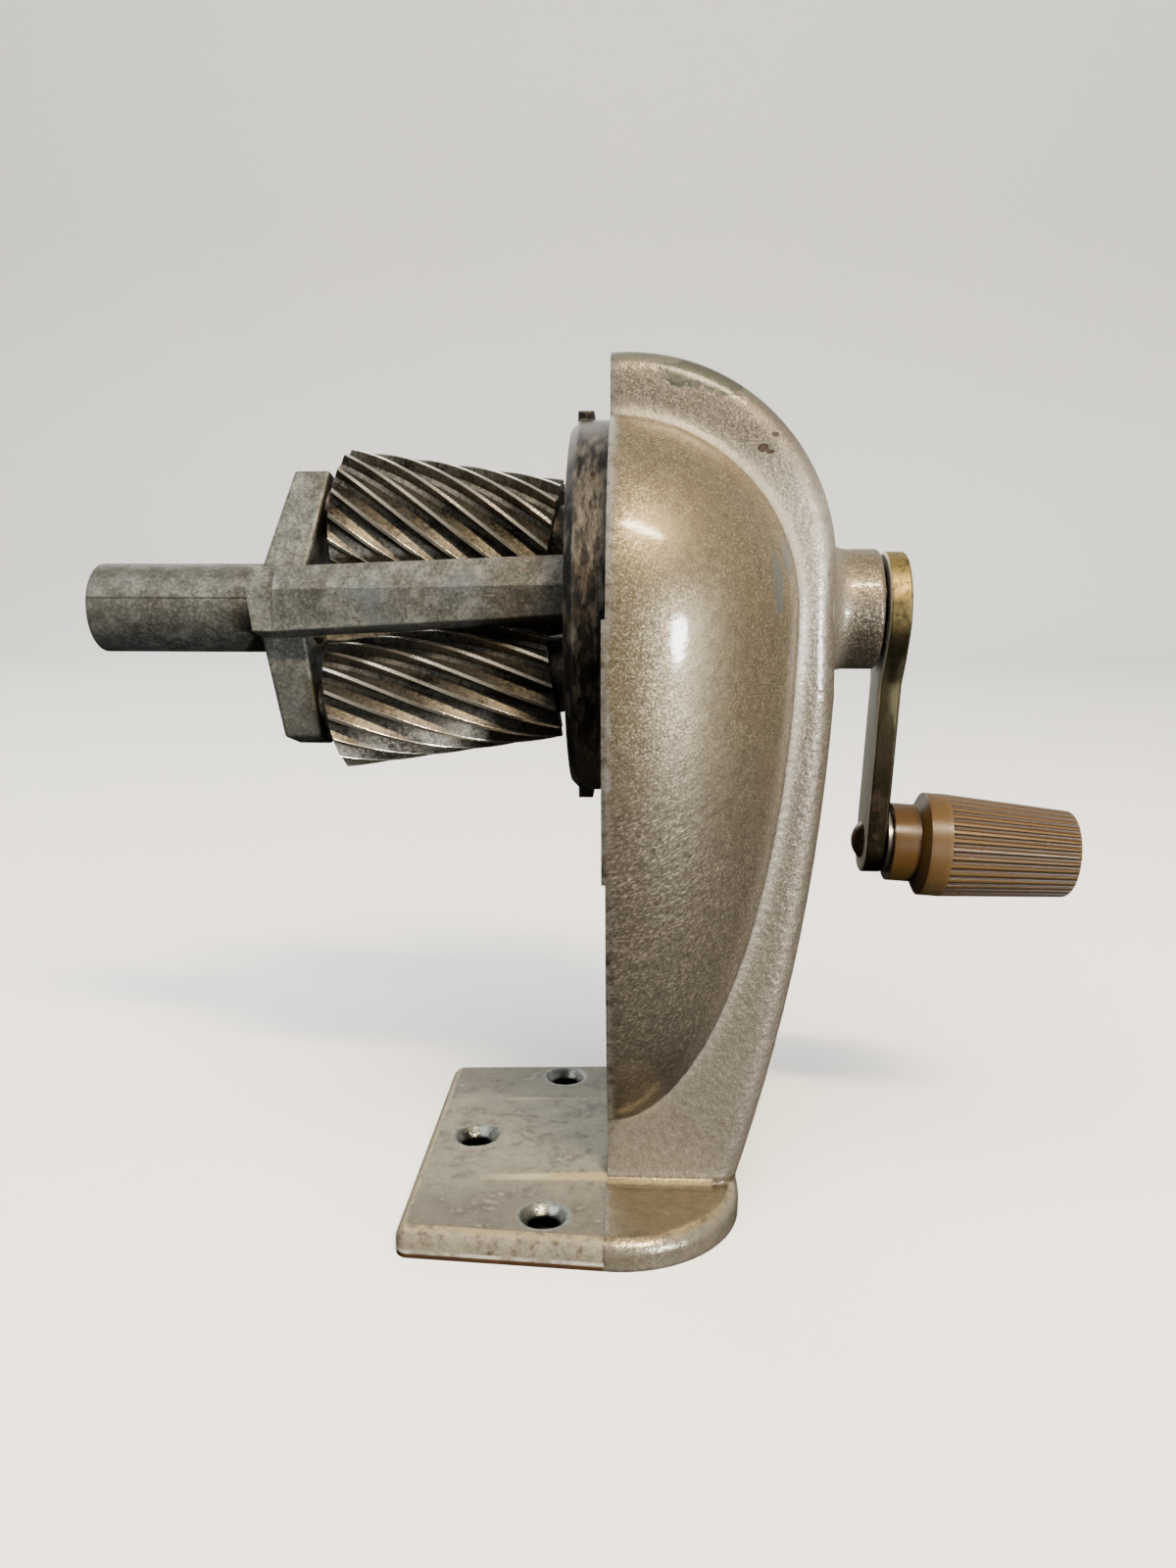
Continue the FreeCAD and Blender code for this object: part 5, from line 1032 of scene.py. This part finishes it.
class SHARPENER_OT_stage(bpy.types.Operator):
    """Lays the pale floor, hangs the lights and sets the camera"""
    bl_idname = "sharpener.stage"
    bl_label = "Stage"

    def execute(self, context):
        look = context.scene.sharpener_stage
        floor = self.lay_floor(context, look)
        self.light_room(context, look)
        self.hang_lamps(context, look, floor)
        self.set_camera(context, look)
        return {"FINISHED"}

    def lay_floor(self, context, look):
        """A board that sweeps up into a wall behind the sharpener."""
        half_width, front, back, sweep, height, steps = 2.5, -1.5, 0.9, 0.5, 2.2, 12
        line = [(front, 0.0), (back, 0.0)]
        for step in range(1, steps + 1):
            turn = math.pi / 2 * step / steps
            line.append((back + sweep * math.sin(turn), sweep * (1 - math.cos(turn))))
        line.append((back + sweep, height))
        board = bmesh.new()
        rows = [[board.verts.new((side, y, z)) for side in (-half_width, half_width)] for y, z in line]
        for near, far in zip(rows, rows[1:]):
            board.faces.new((near[0], near[1], far[1], far[0])).smooth = True
        mesh = bpy.data.meshes.new("pale_board")
        board.to_mesh(mesh)
        board.free()
        mesh.materials.append(matt_painted_board(look))
        floor = bpy.data.objects.new("pale_board", mesh)
        context.scene.collection.objects.link(floor)
        # The pale board throws no light back on the sharpener, whose lower half stays dark.
        floor.visible_diffuse = False
        floor.visible_glossy = False
        return floor

    def light_room(self, context, look):
        """Light of a room that is dark below and bright behind; the camera sees the floor's colour."""
        world = bpy.data.worlds.new("soft_room")
        world.use_nodes = True
        tree = world.node_tree
        tree.nodes.clear()
        way = add(tree, "TexCoord", out="Generated")
        back, up = (add(tree, "SeparateXYZ", {0: way}, out=letter) for letter in "YZ")
        height = add(tree, "MapRange", {"Value": up, "From Min": -1.0})
        room = add(tree, "ValToRGB", {"Fac": height}, stops=(
            (0.3, linear("2B2B2A")), (0.5, linear("8C8C89")), (0.75, linear("C9CACA")),
        ))
        behind = add(tree, "MapRange", {"Value": back, "From Min": 0.2, "From Max": 0.6})
        above = add(tree, "MapRange", {"Value": up, "From Min": -0.14, "From Max": 0.02})
        wall = add(tree, "Math", {0: behind, 1: above}, operation="MULTIPLY")
        room = add(tree, "Mix", {"Factor": wall, "A": room, "B": linear("F4F3EE")}, data_type="RGBA")
        seen = add(tree, "LightPath", out="Is Camera Ray")
        shown = add(tree, "Mix", {"Factor": seen, "A": room, "B": look.floor}, data_type="RGBA")
        strength = add(tree, "Mix", {"Factor": seen, "A": look.room, "B": look.backdrop})
        light = add(tree, "Background", {"Color": shown, "Strength": strength})
        add(tree, "OutputWorld", {"Surface": light})
        context.scene.world = world

    def hang_lamps(self, context, look, floor):
        """Four lamps on the sharpener, and one that lights the board alone."""
        middle = Vector((0.0, 0.0, 75 * MM))
        # Name, direction from the sharpener, distance, width, height, roll, colour, power.
        lamps = (
            ("ceiling_light", (0.28, -0.62, 0.74), 0.8, 0.32, 0.06, -0.5, "FFE6C0", look.key),
            ("window", (0.64, -0.77, -0.05), 0.5, 0.08, 0.06, 0.0, "FAFCFF", look.window),
            ("left_fill", (-0.6, -0.3, 0.75), 0.9, 0.6, 0.6, 0.0, "F4F6FA", look.fill),
            ("back_fill", (-0.25, 0.8, 0.55), 1.1, 0.9, 0.9, 0.0, "F8F7F2", look.back),
            ("board_light", (0.0, -0.6, 0.8), 2.4, 3.0, 3.0, 0.0, "FFFFFF", look.board),
        )
        hung = {}
        for name, direction, distance, width, height, roll, colour, power in lamps:
            lamp = bpy.data.lights.new(name, "AREA")
            lamp.shape = "ELLIPSE"
            lamp.size = width
            lamp.size_y = height
            lamp.color = linear(colour)
            lamp.energy = power
            way = Vector(direction).normalized()
            hung[name] = bpy.data.objects.new(name, lamp)
            hung[name].matrix_world = (
                Matrix.Translation(middle + way * distance)
                @ way.to_track_quat("Z", "Y").to_matrix().to_4x4()
                @ Matrix.Rotation(roll, 4, "Z")
            )
            context.scene.collection.objects.link(hung[name])
        board_only = bpy.data.collections.new("board_only")
        board_only.objects.link(floor)
        hung["board_light"].light_linking.receiver_collection = board_only

    def set_camera(self, context, look):
        """A camera at the photograph's place and angle."""
        lens = bpy.data.cameras.new("photo_view")
        lens.sensor_fit = "AUTO"
        lens.sensor_width = SENSOR
        lens.lens = look.focal
        lens.clip_start = 5 * MM
        camera = bpy.data.objects.new("photo_view", lens)
        upright = Matrix.Rotation(math.pi / 2 - look.pitch, 4, "X")
        camera.matrix_world = Matrix.Translation(look.eye) @ Matrix.Rotation(look.yaw, 4, "Z") @ upright
        context.scene.collection.objects.link(camera)
        context.scene.camera = camera


class SHARPENER_PT_panel(bpy.types.Panel):
    """The sharpener's finishes and stage"""
    bl_idname = "SHARPENER_PT_panel"
    bl_label = "Pencil sharpener"
    bl_space_type = "VIEW_3D"
    bl_region_type = "UI"
    bl_category = "Sharpener"

    def draw(self, context):
        for group, operators in PANEL_ROWS:
            box = self.layout.box()
            look = getattr(context.scene, group)
            for name in look.__annotations__:
                box.prop(look, name)
            for operator in operators:
                box.operator(operator.bl_idname)


LOOKS = {
    "sharpener_lacquer": LacquerLook,
    "sharpener_metal": MetalLook,
    "sharpener_knob": KnobLook,
    "sharpener_stage": StageLook,
}
PANEL_ROWS = (
    ("sharpener_lacquer", (SHARPENER_OT_stand,)),
    ("sharpener_metal", (
        SHARPENER_OT_ring, SHARPENER_OT_carrier, SHARPENER_OT_cutters, SHARPENER_OT_pins, SHARPENER_OT_crank,
    )),
    ("sharpener_knob", (SHARPENER_OT_knob,)),
    ("sharpener_stage", (SHARPENER_OT_stage,)),
)
OPERATORS = [operator for _, operators in PANEL_ROWS for operator in operators]


def register():
    for group in LOOKS.values():
        bpy.utils.register_class(group)
    for name, group in LOOKS.items():
        setattr(bpy.types.Scene, name, bpy.props.PointerProperty(type=group))
    for operator in OPERATORS:
        bpy.utils.register_class(operator)
    bpy.utils.register_class(SHARPENER_PT_panel)


def unregister():
    bpy.utils.unregister_class(SHARPENER_PT_panel)
    for operator in reversed(OPERATORS):
        bpy.utils.unregister_class(operator)
    for name, group in LOOKS.items():
        delattr(bpy.types.Scene, name)
        bpy.utils.unregister_class(group)


def main():
    register()
    bpy.ops.sharpener.stand()
    bpy.ops.sharpener.ring()
    bpy.ops.sharpener.carrier()
    bpy.ops.sharpener.cutters()
    bpy.ops.sharpener.pins()
    bpy.ops.sharpener.crank()
    bpy.ops.sharpener.knob()
    bpy.ops.sharpener.stage()


if __name__ == "__main__":
    main()
